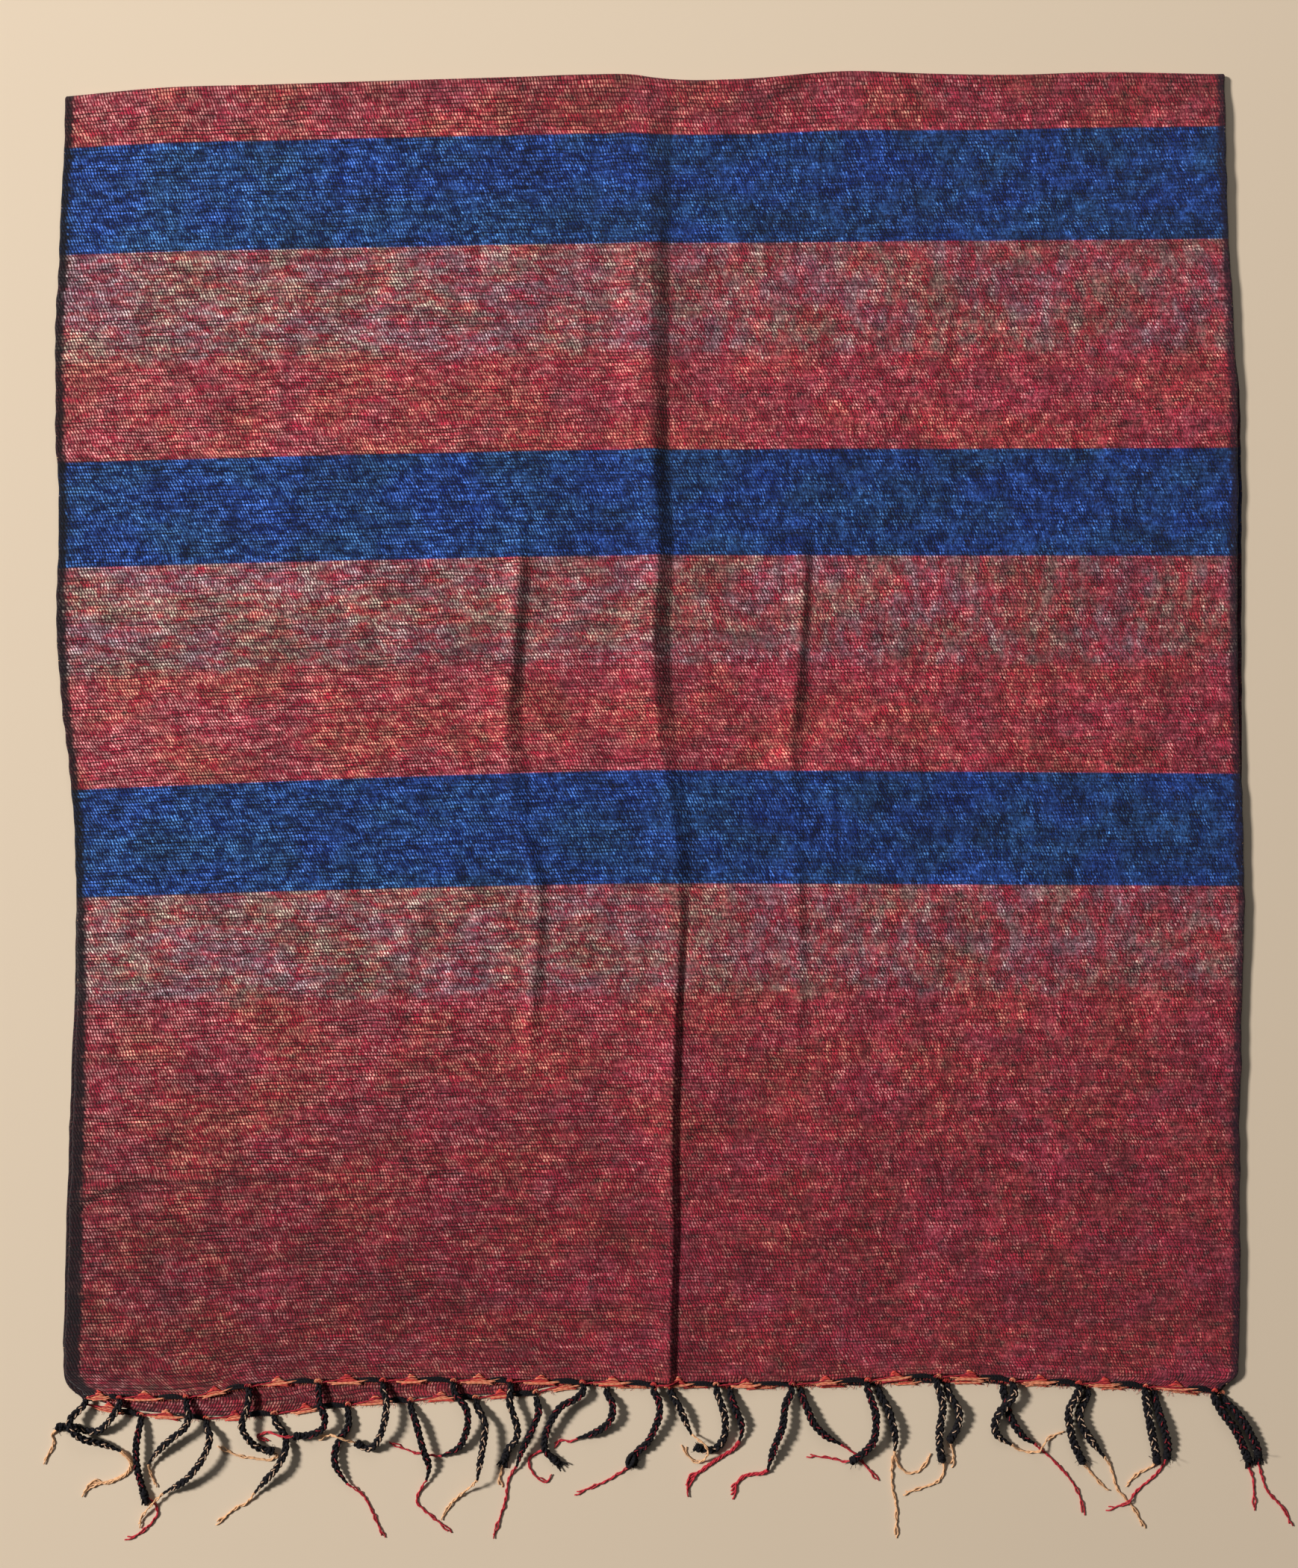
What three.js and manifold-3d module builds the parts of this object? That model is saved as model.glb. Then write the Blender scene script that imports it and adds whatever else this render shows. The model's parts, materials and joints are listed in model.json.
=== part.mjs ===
// A hand-woven wool throw with plaited fringes, folded once across its middle and lying flat.
// Millimetres, +Z up. The origin is on the floor under the middle of the folded throw, +Y points
// to the fold and +X runs along it. The lower layer lies on the floor, the upper layer lies on it,
// and both fringed ends are at -Y.
import * as THREE from 'three';
import { mergeVertices } from 'three/addons/utils/BufferGeometryUtils.js';
import Module from 'manifold-3d';

const wasm = await Module();
wasm.setup();

// The cloth and its fold
const CLOTH_THICKNESS = 2;
const LAYER_GAP = 1;
const FOLD_Y = 456.5; // the line the upper layer turns about, at x = 0
const FOLD_SLOPE = 0.0125; // how far that line climbs along +X
const PIECE_GAP = 0.3; // clearance between neighbouring pieces
const UPPER_Z = CLOTH_THICKNESS + LAYER_GAP;
const FOLD_INNER_RADIUS = LAYER_GAP / 2;
const FOLD_OUTER_RADIUS = FOLD_INNER_RADIUS + CLOTH_THICKNESS;
const FOLD_ARC_STEPS = 12;

// The hem: warp ends gathered into flat bundles along the cut end of the cloth
const HEM_WIDTH = 4;
const HEM_HEIGHT = 2.4;

// The fringe
const BRAID_DIAMETER = 5.2;
const BRAID_STEP = 8;
const TAIL_DIAMETER = 1.4;
const TAIL_STEP = 8;
const CORD_SIDES = 8;

const CLOTH_COLOUR = 0x7d2430;
const HEM_COLOUR = 0xa8392f;
const BRAID_COLOUR = 0x14121a;
const CLOTH_ROUGHNESS = 0.95;
const YARN_ROUGHNESS = 0.85;

// The two selvedges from the fold down to the hem, and each layer's hem from left to right:
// the outer edge of its gathered warp ends, as [x, y]
const UPPER_LEFT = [
  [-408, 450], [-411, 376], [-416, 250], [-413, 146], [-415, 67], [-409, -1],
  [-402.5, -64], [-400, -169], [-402.5, -247], [-405.5, -347], [-408.5, -440],
];
const UPPER_RIGHT = [
  [400, 460], [401, 374], [405.5, 291], [408.5, 219], [408.5, 93], [410, -11],
  [413.5, -107], [411, -221], [410.5, -378], [409.5, -440],
];
const UPPER_HEM = [
  [-396, -467], [-324, -467], [-283, -459.5], [-233, -456.5], [-138, -455.5], [16, -458],
  [102, -458], [203, -452.5], [251, -455.5], [303, -457.5], [346, -459.5], [398, -463],
];
const LOWER_LEFT = [
  [-408, 450], [-411, 376], [-415.5, 250], [-412, 146], [-414, 67], [-408, -1],
  [-403, -64], [-403, -169], [-406, -247], [-409, -347], [-411, -440],
];
const LOWER_RIGHT = [
  [400, 460], [401, 374], [406.5, 291], [412, 219], [413, 93], [413, -11],
  [413, -107], [410, -221], [409, -378], [409, -440],
];
const LOWER_HEM = [
  [-398, -472.5], [-370, -479], [-312, -483], [-266, -480], [-212, -473.5], [-169, -470.5],
  [-122, -468.5], [-83, -465.5], [-48, -460.5], [105, -460], [205, -457], [301, -460],
  [350, -462], [400, -465.5],
];

// Each braid: the points its plait follows from the hem to its tied end, then its loose yarns
const UPPER_BRAIDS = [
  {
    plait: [[-395.7, -468, 5.4], [-395.8, -471, 6], [-399.5, -475, 7], [-405.1, -481, 8.5],
      [-404.1, -488, 9.5], [-395.7, -495, 8.2], [-383.6, -499.5, 4.8], [-370.5, -505.3, 3]],
    tails: [[[-371, -505, 3], [-364.9, -513, 1.2], [-367.5, -520.8, 0.8], [-379.9, -527.3, 0.8],
      [-391, -528.2, 0.8], [-400.4, -535.7, 0.8]]],
  },
  {
    plait: [[-371.4, -468, 5.6], [-371.4, -471.5, 6.4], [-374.5, -477, 8], [-379.9, -484.2, 7.4],
      [-386.4, -489.9, 5], [-395.7, -490.8, 3.1], [-404.1, -488.4, 2.8], [-415.4, -488, 2.8]],
    tails: [[[-414.6, -488, 2.8], [-420, -494, 1], [-419.2, -501.1, 0.8], [-426.6, -514.2, 0.8]]],
  },
  {
    plait: [[-324.6, -468, 5.6], [-324.5, -472, 6.8], [-322.6, -479, 8.5], [-325.6, -487, 9],
      [-335.9, -495.5, 8], [-346.1, -505.7, 5.5], [-352.3, -514.6, 3.6]],
    tails: [[[-351.8, -513.9, 3.6], [-351.5, -519, 1.6], [-349, -526, 0.8], [-347.5, -531, 0.8]]],
  },
  {
    plait: [[-281, -460.6, 5.6], [-281, -464.6, 6.5], [-282, -473, 8], [-285.4, -485.2, 9],
      [-281, -495.5, 7], [-274.5, -502, 4.8], [-264.8, -505.2, 3]],
    tails: [[[-265.6, -505, 3], [-262, -508.4, 1.1], [-268, -511.8, 0.8], [-279, -510.5, 0.8],
      [-290.3, -508.6, 0.8], [-304, -502, 0.8]]],
  },
  {
    plait: [[-232.3, -457.6, 5.6], [-232.3, -462, 6.5], [-231.2, -471, 8], [-227.7, -479, 9],
      [-228.6, -486.5, 8.2], [-234.2, -490.8, 6.8], [-241.7, -493.1, 5.8], [-249.2, -493.6, 5.4]],
    tails: [[[-248.4, -493.5, 5.6], [-253, -493.3, 7.4], [-257.5, -492.8, 7.8], [-262.5, -492, 6.2],
      [-268.9, -491.7, 2.2], [-276, -495.4, 0.9], [-268, -498.5, 0.8]]],
  },
  {
    plait: [[-187.4, -457, 5.6], [-187.2, -461, 6.5], [-184.9, -466.5, 8.2], [-184.7, -475, 10],
      [-187.4, -488, 10], [-193, -499.2, 7], [-199, -502.6, 4.8], [-206.2, -498.6, 4.2]],
    tails: [[[-205.4, -499, 4.3], [-210.8, -496.2, 7.3], [-215.8, -494.2, 8.8], [-220.4, -492.4, 8.3],
      [-226, -493.5, 4], [-233.5, -497, 0.9]]],
  },
  {
    plait: [[-138.2, -456.5, 5.6], [-138, -460.5, 6.5], [-135.2, -465.5, 7.6], [-128.9, -473.5, 9],
      [-127.9, -483.6, 9], [-130.7, -494.5, 7], [-135.5, -502.4, 5], [-147.6, -508.6, 3]],
    tails: [[[-146.8, -508.3, 3], [-152, -508.6, 1.2], [-160.3, -507.6, 0.8], [-168.7, -505.7, 0.8],
      [-183.7, -499.2, 0.8]]],
  },
  {
    plait: [[-98, -457.3, 5.6], [-98.2, -461, 6.2], [-98.9, -469.3, 7.5], [-96.1, -477.7, 8.5],
      [-93.3, -488, 8], [-94.8, -496.4, 6.5], [-99.9, -502.5, 4.6], [-102.7, -510.4, 3]],
    tails: [[[-102.5, -509.6, 3], [-104, -516, 1], [-106.5, -525, 0.8], [-105, -531, 0.8]]],
  },
  {
    plait: [[-47.5, -458.2, 5.6], [-47.8, -462.3, 6.3], [-53, -467, 7.5], [-63.5, -472.5, 8.4],
      [-71.8, -486.1, 7.5], [-74.6, -497.3, 5.5], [-73.6, -505, 4], [-66.2, -512.3, 3]],
    tails: [[[-74.2, -503, 4.2], [-81, -507, 1.2], [-86, -512, 0.8], [-82.5, -521.7, 0.8],
      [-74, -526.8, 0.8], [-69.2, -522.5, 0.8]]],
  },
  {
    plait: [[1.8, -459.2, 5.5], [2, -463, 5.9], [5.2, -468.4, 7], [5.5, -478.6, 8],
      [-0.1, -493.6, 6], [-4.8, -500.6, 4.6], [-10, -505.4, 3.6], [-13.7, -514.2, 3]],
    tails: [[[-13.5, -513.5, 3], [-17.5, -517.5, 1.4], [-25, -522.4, 1], [-33.4, -527.3, 0.8],
      [-54, -535.8, 0.8]]],
  },
  {
    plait: [[45.7, -459.2, 5.5], [46, -463, 5.8], [48.5, -470, 6.2], [51.4, -480, 6.5],
      [51.2, -493.6, 5], [45.5, -502.6, 3.6], [38, -504.2, 3], [31, -502.2, 3]],
    tails: [],
  },
  {
    plait: [[98, -459.2, 5.5], [97.8, -463, 5.9], [93.5, -472, 7], [91.6, -486, 8],
      [86, -501, 7], [81.3, -518.9, 3]],
    tails: [[[81.5, -518.2, 3], [77.5, -520.8, 1.4], [66.3, -522.6, 0.8], [59.8, -528.2, 0.8],
      [55.1, -538.5, 0.8]]],
  },
  {
    plait: [[151, -456.6, 5.5], [151.2, -460.5, 6], [153.9, -468.3, 7], [156.7, -478.6, 8.5],
      [155.8, -493.6, 8.5], [152, -501.1, 7], [146.4, -506.7, 6], [139.9, -511.4, 4.6]],
    tails: [[[140.6, -510.9, 4.6], [134.5, -512.5, 1.6], [126, -510.5, 0.8], [109, -508.5, 0.8]]],
  },
  {
    plait: [[199.5, -453.8, 5.5], [199.8, -457.5, 6], [201.6, -463, 6.5], [203.5, -473, 7.5],
      [201.6, -488, 6.5], [201.6, -499.2, 4.5], [203.5, -511.4, 3]],
    tails: [[[203.4, -510.6, 3], [205.3, -519, 0.9], [200.5, -527, 0.8], [187.6, -531.9, 0.8],
      [176.4, -535.5, 0.8]]],
  },
  {
    plait: [[252.5, -456.4, 5.6], [253, -459.5, 6.8], [252.8, -464, 8.3], [248.2, -470, 8.8],
      [241.9, -478.6, 7], [240, -488, 5.5], [243.7, -495, 4.2], [253, -501.1, 3]],
    tails: [[[252.3, -500.7, 3], [258, -504.6, 1.2], [265, -505.7, 2], [272, -503.6, 5],
      [276, -498.5, 2.5], [282, -494.5, 0.8], [289.5, -492.6, 0.8]]],
  },
  {
    plait: [[298.6, -458.6, 5.5], [298.6, -461.5, 6], [296, -467, 7], [291.6, -474, 8],
      [291.8, -483.4, 7], [295, -497.3, 5], [301.8, -512.3, 3]],
    tails: [[[301.4, -511.5, 3], [306.5, -518.5, 1], [312, -525, 0.8], [320.3, -533.5, 0.8]]],
  },
  {
    plait: [[345.3, -460.5, 5.5], [345.4, -464, 5.8], [346.2, -471.4, 6], [347.9, -482.6, 6.5],
      [350.5, -494.7, 5.5], [353, -505, 4], [354, -512.4, 3]],
    tails: [[[353.9, -511.6, 3], [350, -516.8, 1], [341, -521.5, 0.8], [332.5, -530, 0.8]]],
  },
  {
    plait: [[393.5, -464.2, 5.5], [393.7, -467.5, 5.8], [396.1, -471.8, 5.8], [401, -479.8, 6.5],
      [407.3, -487.8, 6], [411.7, -496.3, 5], [417.8, -510.6, 3]],
    tails: [[[417.4, -509.8, 3], [419, -517, 1.1], [422, -526, 0.8], [422.9, -547.2, 0.8]]],
  },
];
const LOWER_BRAIDS = [
  {
    plait: [[-357.4, -481.2, 2.8], [-357.5, -485, 4], [-358.3, -490, 5.5], [-359.7, -501.1, 7],
      [-359.2, -516.1, 5.5], [-357.4, -526.4, 3.6], [-354.6, -537, 3]],
    tails: [[[-354.8, -536.2, 3], [-349.5, -541, 1.2], [-346.1, -548, 0.8], [-350.5, -556, 0.8],
      [-361.1, -564.7, 0.8], [-369.5, -567, 0.8]]],
  },
  {
    plait: [[-311.5, -484, 2.8], [-311, -488, 4.4], [-308.2, -493, 7.4], [-309.7, -502, 10],
      [-316.2, -513.3, 10.5], [-326.5, -524.5, 8], [-342.2, -534.6, 3.8]],
    tails: [[[-341.5, -534.2, 3.9], [-346.6, -539, 3.5], [-352.5, -545.5, 3.3], [-356.6, -551, 2],
      [-359.7, -559, 0.8]]],
  },
  {
    plait: [[-264.1, -480.9, 2.8], [-263, -485, 3], [-259, -490, 3.2], [-255.7, -497, 4],
      [-256.4, -506, 7], [-262.3, -516.1, 8.5], [-268.9, -523.5, 7], [-278.2, -534.8, 3.2]],
    tails: [[[-277.7, -534.1, 3.2], [-283.8, -542, 1], [-291.3, -545.5, 0.8], [-305.6, -557, 0.8]]],
  },
  {
    plait: [[-212.7, -474.8, 2.8], [-212.2, -479, 3.6], [-212, -487, 4.4], [-217.5, -495.5, 4.3],
      [-221.1, -504, 4.6], [-220.5, -515.1, 5], [-212.7, -528.2, 3]],
    tails: [[[-213.1, -527.5, 3], [-203.5, -535, 1], [-197.5, -544, 0.8], [-187.4, -566.6, 0.8]]],
  },
  {
    plait: [[-168.7, -471.7, 2.8], [-167.9, -475.5, 4], [-164.3, -484, 6.5], [-159.3, -502, 7.5],
      [-155.3, -514.5, 6], [-157.6, -526, 3]],
    tails: [[[-157.5, -525.2, 3], [-162.5, -534, 0.9], [-164, -542, 0.8], [-152.3, -552.6, 0.8],
      [-140.1, -562.9, 0.8]]],
  },
  {
    plait: [[-122.3, -469.7, 2.8], [-121.8, -473.5, 4.4], [-118.6, -478.4, 6.6], [-115.8, -486, 9],
      [-117.6, -501.1, 11.5], [-119.5, -512.3, 11.5], [-121.4, -523.5, 9.4]],
    tails: [[[-121.3, -522.8, 9.4], [-126, -528.5, 6], [-131, -533.5, 2.6], [-140.1, -542, 1],
      [-147.6, -553.5, 0.8]]],
  },
  {
    plait: [[-80.6, -466.8, 2.8], [-80, -470.5, 4], [-78.7, -477, 6.5], [-82.3, -486, 8.5],
      [-87.3, -496.5, 8.5], [-91.2, -506, 6], [-94.6, -516.5, 3]],
    tails: [[[-94.4, -515.7, 3], [-98, -521, 1], [-100.7, -528, 0.8], [-102.5, -541, 0.8],
      [-111.1, -566.6, 0.8]]],
  },
  {
    plait: [[-31.5, -461.3, 2.8], [-30.8, -465, 3.8], [-27, -471.5, 6], [-28.8, -482, 7],
      [-38.5, -490.8, 5], [-52.5, -496.2, 3]],
    tails: [[[-51.7, -496, 3], [-57, -498.6, 1], [-64, -498, 0.8], [-68.5, -502.5, 0.8]]],
  },
  {
    plait: [[13.5, -461.2, 2.8], [14.3, -465, 3.8], [19.5, -473, 6.4], [24.8, -485, 6],
      [28.6, -493.8, 4]],
    tails: [[[28.3, -493, 4], [33.5, -496, 6.2], [38.6, -500.5, 7.6], [39.4, -505.5, 7],
      [37.2, -510, 4], [32.6, -513.3, 1], [26.1, -509.5, 0.8], [22, -501, 0.8]]],
  },
  {
    plait: [[55.2, -461.3, 2.8], [55.6, -465, 3.5], [57.9, -472.6, 5.5], [62.6, -483.4, 6],
      [63.3, -492, 4.5], [61.4, -498.3, 3]],
    tails: [[[61.6, -497.5, 3], [57.5, -504, 1.2], [47.6, -510.2, 0.8], [36, -518.5, 0.8],
      [27.5, -525, 0.8], [23.3, -536.6, 0.8]]],
  },
  {
    plait: [[104.5, -461.2, 2.8], [105.2, -465, 3.6], [109, -474.5, 5.5], [113.9, -485.2, 6],
      [122.8, -494.2, 5], [133.6, -500.6, 3]],
    tails: [[[132.9, -500.2, 3], [138, -504, 1], [144, -508.6, 0.8], [149.5, -515, 0.8],
      [159.5, -526.4, 0.8]]],
  },
  {
    plait: [[159, -460.2, 2.8], [159.6, -464, 3.6], [165.6, -475, 5.5], [168.9, -486.1, 7],
      [170.8, -497.3, 5.5], [170.3, -505.7, 3]],
    tails: [
      [[170.3, -504.9, 3], [168.9, -513, 1.3], [168.9, -530, 0.8], [171.7, -544, 0.8],
        [171.7, -566.6, 0.8]],
      [[170.4, -504.9, 3], [172.6, -514, 1.3], [179.2, -520.6, 0.9], [188.5, -518.8, 0.8],
        [196.3, -507.5, 0.8]],
    ],
  },
  {
    plait: [[206.9, -457.8, 2.8], [207.2, -461.5, 3.4], [209.7, -467, 5], [214.7, -475.8, 7],
      [213.8, -487, 6], [208.8, -497.3, 3.6]],
    tails: [[[209, -496.7, 3.6], [210.6, -503, 1.2], [212, -510, 0.8], [210, -517, 0.8]]],
  },
  {
    plait: [[246.4, -459.5, 2.8], [246.6, -463, 2.8], [248.2, -470, 2.9], [249.9, -477.5, 3.5],
      [254, -486, 5], [260.6, -494.5, 4.5], [269, -500.1, 3]],
    tails: [[[268.3, -499.7, 3], [273, -504, 1.4], [281.2, -511.4, 0.8], [292.4, -523.6, 0.8],
      [299.9, -535.8, 0.8], [303.6, -550.7, 0.8]]],
  },
  {
    plait: [[305.4, -461.2, 2.8], [305.2, -465, 3.2], [302.4, -470.5, 4.2], [299.2, -477.5, 5],
      [300.6, -485.5, 5.5], [306.5, -495.3, 5], [317.6, -509.5, 3]],
    tails: [[[317.1, -508.9, 3], [321.5, -515.5, 1.1], [324.4, -524.5, 0.8], [326.4, -531.5, 0.8],
      [332.6, -539, 0.8], [339.2, -547, 0.8], [345.7, -560, 0.8]]],
  },
  {
    plait: [[352.2, -463.1, 2.8], [352.3, -466.7, 3.2], [354.9, -477.5, 5], [359.1, -491.2, 6],
      [361.2, -501.5, 4.5], [360.9, -509.3, 3]],
    tails: [[[360.9, -508.5, 3], [358, -516.5, 1.1], [352, -523.5, 0.8], [343, -531, 0.8],
      [338, -536, 1.2], [334.4, -540.2, 2.9], [327, -544.2, 1], [318.6, -546.3, 0.8]]],
  },
  {
    plait: [[400.9, -466.8, 2.8], [401.6, -470.3, 3.4], [408.2, -476, 4.5], [414.5, -484.8, 5.5],
      [419.8, -494, 5], [423.6, -502, 4], [425, -508.2, 3]],
    tails: [[[424.9, -507.4, 3], [426, -515, 1.1], [428.5, -524, 0.8], [432, -533.5, 0.8],
      [444, -547, 0.8], [448.7, -558.4, 0.8]]],
  },
];

const foldY = (x) => FOLD_Y + FOLD_SLOPE * x;

function flatPoints(list) {
  return list.map(([x, y]) => new THREE.Vector2(x, y));
}

function clothShape(leftEdge, rightEdge, hem) {
  const inset = HEM_WIDTH + PIECE_GAP;
  const left = flatPoints(leftEdge);
  const right = flatPoints(rightEdge).reverse();
  const end = flatPoints(hem.map(([x, y]) => [x, y + inset]));
  left[0].y = foldY(left[0].x) - PIECE_GAP;
  right[right.length - 1].y = foldY(right[right.length - 1].x) - PIECE_GAP;
  const shape = new THREE.Shape();
  shape.moveTo(left[0].x, left[0].y);
  shape.splineThru(left.slice(1));
  shape.quadraticCurveTo(left[left.length - 1].x + 1, end[0].y + 1, end[0].x, end[0].y);
  shape.splineThru(end.slice(1));
  shape.quadraticCurveTo(right[0].x - 1, end[end.length - 1].y + 1, right[0].x, right[0].y);
  shape.splineThru(right.slice(1));
  shape.closePath();
  return shape;
}

function hemShape(hem) {
  const outer = flatPoints(hem);
  const inner = flatPoints(hem.map(([x, y]) => [x, y + HEM_WIDTH])).reverse();
  const shape = new THREE.Shape();
  shape.moveTo(outer[0].x, outer[0].y);
  shape.splineThru(outer.slice(1));
  shape.lineTo(inner[0].x, inner[0].y);
  shape.splineThru(inner.slice(1));
  shape.closePath();
  return shape;
}

function slab(shape, height) {
  return new THREE.ExtrudeGeometry(shape, { depth: height, bevelEnabled: false, curveSegments: 2 });
}

// Half a ring of cloth that carries the lower layer round the fold into the upper one
function foldGeometry() {
  const start = UPPER_LEFT[0][0];
  const end = UPPER_RIGHT[0][0];
  const profile = new THREE.Shape();
  profile.absarc(0, 0, FOLD_OUTER_RADIUS, -Math.PI / 2, Math.PI / 2, false);
  profile.absarc(0, 0, FOLD_INNER_RADIUS, Math.PI / 2, -Math.PI / 2, true);
  profile.closePath();
  const run = Math.hypot(end - start, foldY(end) - foldY(start));
  const geometry = new THREE.ExtrudeGeometry(profile, {
    depth: run, bevelEnabled: false, curveSegments: FOLD_ARC_STEPS,
  });
  // the profile is drawn looking along the fold: its x becomes +Y, its y becomes +Z
  geometry.applyMatrix4(new THREE.Matrix4().set(
    0, 0, 1, 0,
    1, 0, 0, 0,
    0, 1, 0, 0,
    0, 0, 0, 1,
  ));
  geometry.rotateZ(Math.atan(FOLD_SLOPE));
  geometry.translate(start, foldY(start), FOLD_OUTER_RADIUS);
  return geometry;
}

function cordGeometry(points, diameter, step) {
  const path = new THREE.CatmullRomCurve3(points.map((p) => new THREE.Vector3(...p)));
  const section = new THREE.Shape();
  for (let side = 0; side < CORD_SIDES; side += 1) {
    const angle = (2 * Math.PI * side) / CORD_SIDES;
    const x = (diameter / 2) * Math.cos(angle);
    const y = (diameter / 2) * Math.sin(angle);
    if (side === 0) {
      section.moveTo(x, y);
    } else {
      section.lineTo(x, y);
    }
  }
  section.closePath();
  const steps = Math.max(4, Math.round(path.getLength() / step));
  return new THREE.ExtrudeGeometry(section, { steps, extrudePath: path, bevelEnabled: false });
}

function toSolid(geometry) {
  const bare = geometry.clone();
  bare.deleteAttribute('normal');
  bare.deleteAttribute('uv');
  const merged = mergeVertices(bare, 1e-4);
  return new wasm.Manifold(new wasm.Mesh({
    numProp: 3,
    vertProperties: new Float32Array(merged.attributes.position.array),
    triVerts: new Uint32Array(merged.index.array),
  }));
}

function toGeometry(solid) {
  const mesh = solid.getMesh();
  const geometry = new THREE.BufferGeometry();
  geometry.setAttribute('position', new THREE.BufferAttribute(mesh.vertProperties, 3));
  geometry.setIndex(new THREE.BufferAttribute(mesh.triVerts, 1));
  geometry.computeVertexNormals();
  return geometry;
}

// One plaited cord with the loose ends of its yarns grown onto its tied end
function braidGeometry({ plait, tails }) {
  let solid = toSolid(cordGeometry(plait, BRAID_DIAMETER, BRAID_STEP));
  for (const tail of tails) {
    solid = solid.add(toSolid(cordGeometry(tail, TAIL_DIAMETER, TAIL_STEP)));
  }
  return toGeometry(solid);
}

function piece(name, geometry, color, roughness, z = 0) {
  const material = new THREE.MeshStandardMaterial({ color, roughness, metalness: 0 });
  const mesh = new THREE.Mesh(geometry, material);
  mesh.name = name;
  mesh.position.z = z;
  return mesh;
}

function fringe(prefix, braids) {
  const group = new THREE.Group();
  braids.forEach((braid, index) => {
    const name = `${prefix}_${String(index + 1).padStart(2, '0')}`;
    group.add(piece(name, braidGeometry(braid), BRAID_COLOUR, YARN_ROUGHNESS));
  });
  return group;
}

const lowerLayer = new THREE.Group();
lowerLayer.add(
  piece('lower_cloth', slab(clothShape(LOWER_LEFT, LOWER_RIGHT, LOWER_HEM), CLOTH_THICKNESS),
    CLOTH_COLOUR, CLOTH_ROUGHNESS),
  piece('lower_hem', slab(hemShape(LOWER_HEM), HEM_HEIGHT), HEM_COLOUR, YARN_ROUGHNESS),
  piece('fold_bend', foldGeometry(), CLOTH_COLOUR, CLOTH_ROUGHNESS),
  fringe('lower_braid', LOWER_BRAIDS),
);

const upperLayer = new THREE.Group();
upperLayer.add(
  piece('upper_cloth', slab(clothShape(UPPER_LEFT, UPPER_RIGHT, UPPER_HEM), CLOTH_THICKNESS),
    CLOTH_COLOUR, CLOTH_ROUGHNESS, UPPER_Z),
  piece('upper_hem', slab(hemShape(UPPER_HEM), HEM_HEIGHT), HEM_COLOUR, YARN_ROUGHNESS,
    HEM_HEIGHT + PIECE_GAP),
  fringe('upper_braid', UPPER_BRAIDS),
);

const throwBlanket = new THREE.Group();
throwBlanket.add(lowerLayer, upperLayer);

export default throwBlanket;
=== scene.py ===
# A hand-woven wool throw with plaited fringes, folded once and lying flat: its looks, built on the CAD
# frame. Metres, +Z up. The upper layer's face is the outer face of the cloth, +Y is towards the fold,
# and both fringed ends are at -Y.
import json
import math

import bpy
import numpy as np
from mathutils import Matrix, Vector


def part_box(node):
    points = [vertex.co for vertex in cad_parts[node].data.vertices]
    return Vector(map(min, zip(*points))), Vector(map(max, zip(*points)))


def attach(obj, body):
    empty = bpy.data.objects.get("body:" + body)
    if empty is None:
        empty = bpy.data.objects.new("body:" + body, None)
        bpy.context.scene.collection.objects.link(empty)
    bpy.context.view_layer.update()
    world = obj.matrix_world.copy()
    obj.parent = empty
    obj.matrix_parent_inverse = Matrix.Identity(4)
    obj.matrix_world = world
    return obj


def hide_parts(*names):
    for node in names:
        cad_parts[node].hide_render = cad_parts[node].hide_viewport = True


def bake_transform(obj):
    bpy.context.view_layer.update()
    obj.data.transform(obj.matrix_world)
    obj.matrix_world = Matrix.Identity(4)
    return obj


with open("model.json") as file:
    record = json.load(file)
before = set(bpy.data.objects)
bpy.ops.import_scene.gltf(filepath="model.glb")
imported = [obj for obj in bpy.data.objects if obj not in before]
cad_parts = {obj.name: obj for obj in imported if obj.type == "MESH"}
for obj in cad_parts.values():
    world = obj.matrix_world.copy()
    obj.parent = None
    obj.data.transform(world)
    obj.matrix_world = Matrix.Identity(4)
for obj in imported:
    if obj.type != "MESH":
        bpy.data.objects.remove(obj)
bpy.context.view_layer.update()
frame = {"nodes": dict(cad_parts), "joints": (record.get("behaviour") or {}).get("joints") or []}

# The cloth
FLAT_WIDTH = 0.82
FLAT_LENGTH = 1.83
CLOTH_THICKNESS = 0.0018
LOWER_Z = CLOTH_THICKNESS / 2 + 0.0001  # middle of the lower layer's thickness
HINGE = frame["joints"][0]["pos_m"]
HINGE_Z = HINGE[2]
FOLD_RADIUS = HINGE_Z - LOWER_Z  # from the middle of the fold to the middle of the cloth
UPPER_Z = HINGE_Z + FOLD_RADIUS
FOLD_ARC = math.pi * FOLD_RADIUS
FOLD_TURNS = (-90, -72, -54, -38, -25, -15, -7, 0, 7, 15, 25, 38, 54, 72, 90)
HEM_COVER = 0.0030  # how far the gathered ends stand out past the cloth's cut edge

# How the rows of weaving lie: distance along the cloth from the fold, where that row crosses the middle,
# and how much further along +Y it lies at the left and at the right selvedge
ROW_COURSE = (
    (0.000, 0.4575, -0.0070, 0.0030),
    (0.036, 0.4160, -0.0070, 0.0060),
    (0.113, 0.3400, -0.0080, 0.0030),
    (0.190, 0.2640, -0.0080, 0.0020),
    (0.259, 0.1960, -0.0095, 0.0010),
    (0.333, 0.1220, -0.0090, -0.0005),
    (0.408, 0.0480, -0.0100, -0.0005),
    (0.488, -0.0280, -0.0140, -0.0025),
    (0.565, -0.1070, -0.0100, -0.0020),
    (0.642, -0.1840, -0.0060, 0.0020),
    (0.915, -0.4570, -0.0100, -0.0040),
)
ROW_BOW = 1.3  # how late a row starts to turn towards the selvedge
LAID_HALF_WIDTH = 0.408  # half the cloth's usual width as it lies, for the places of its columns
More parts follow.
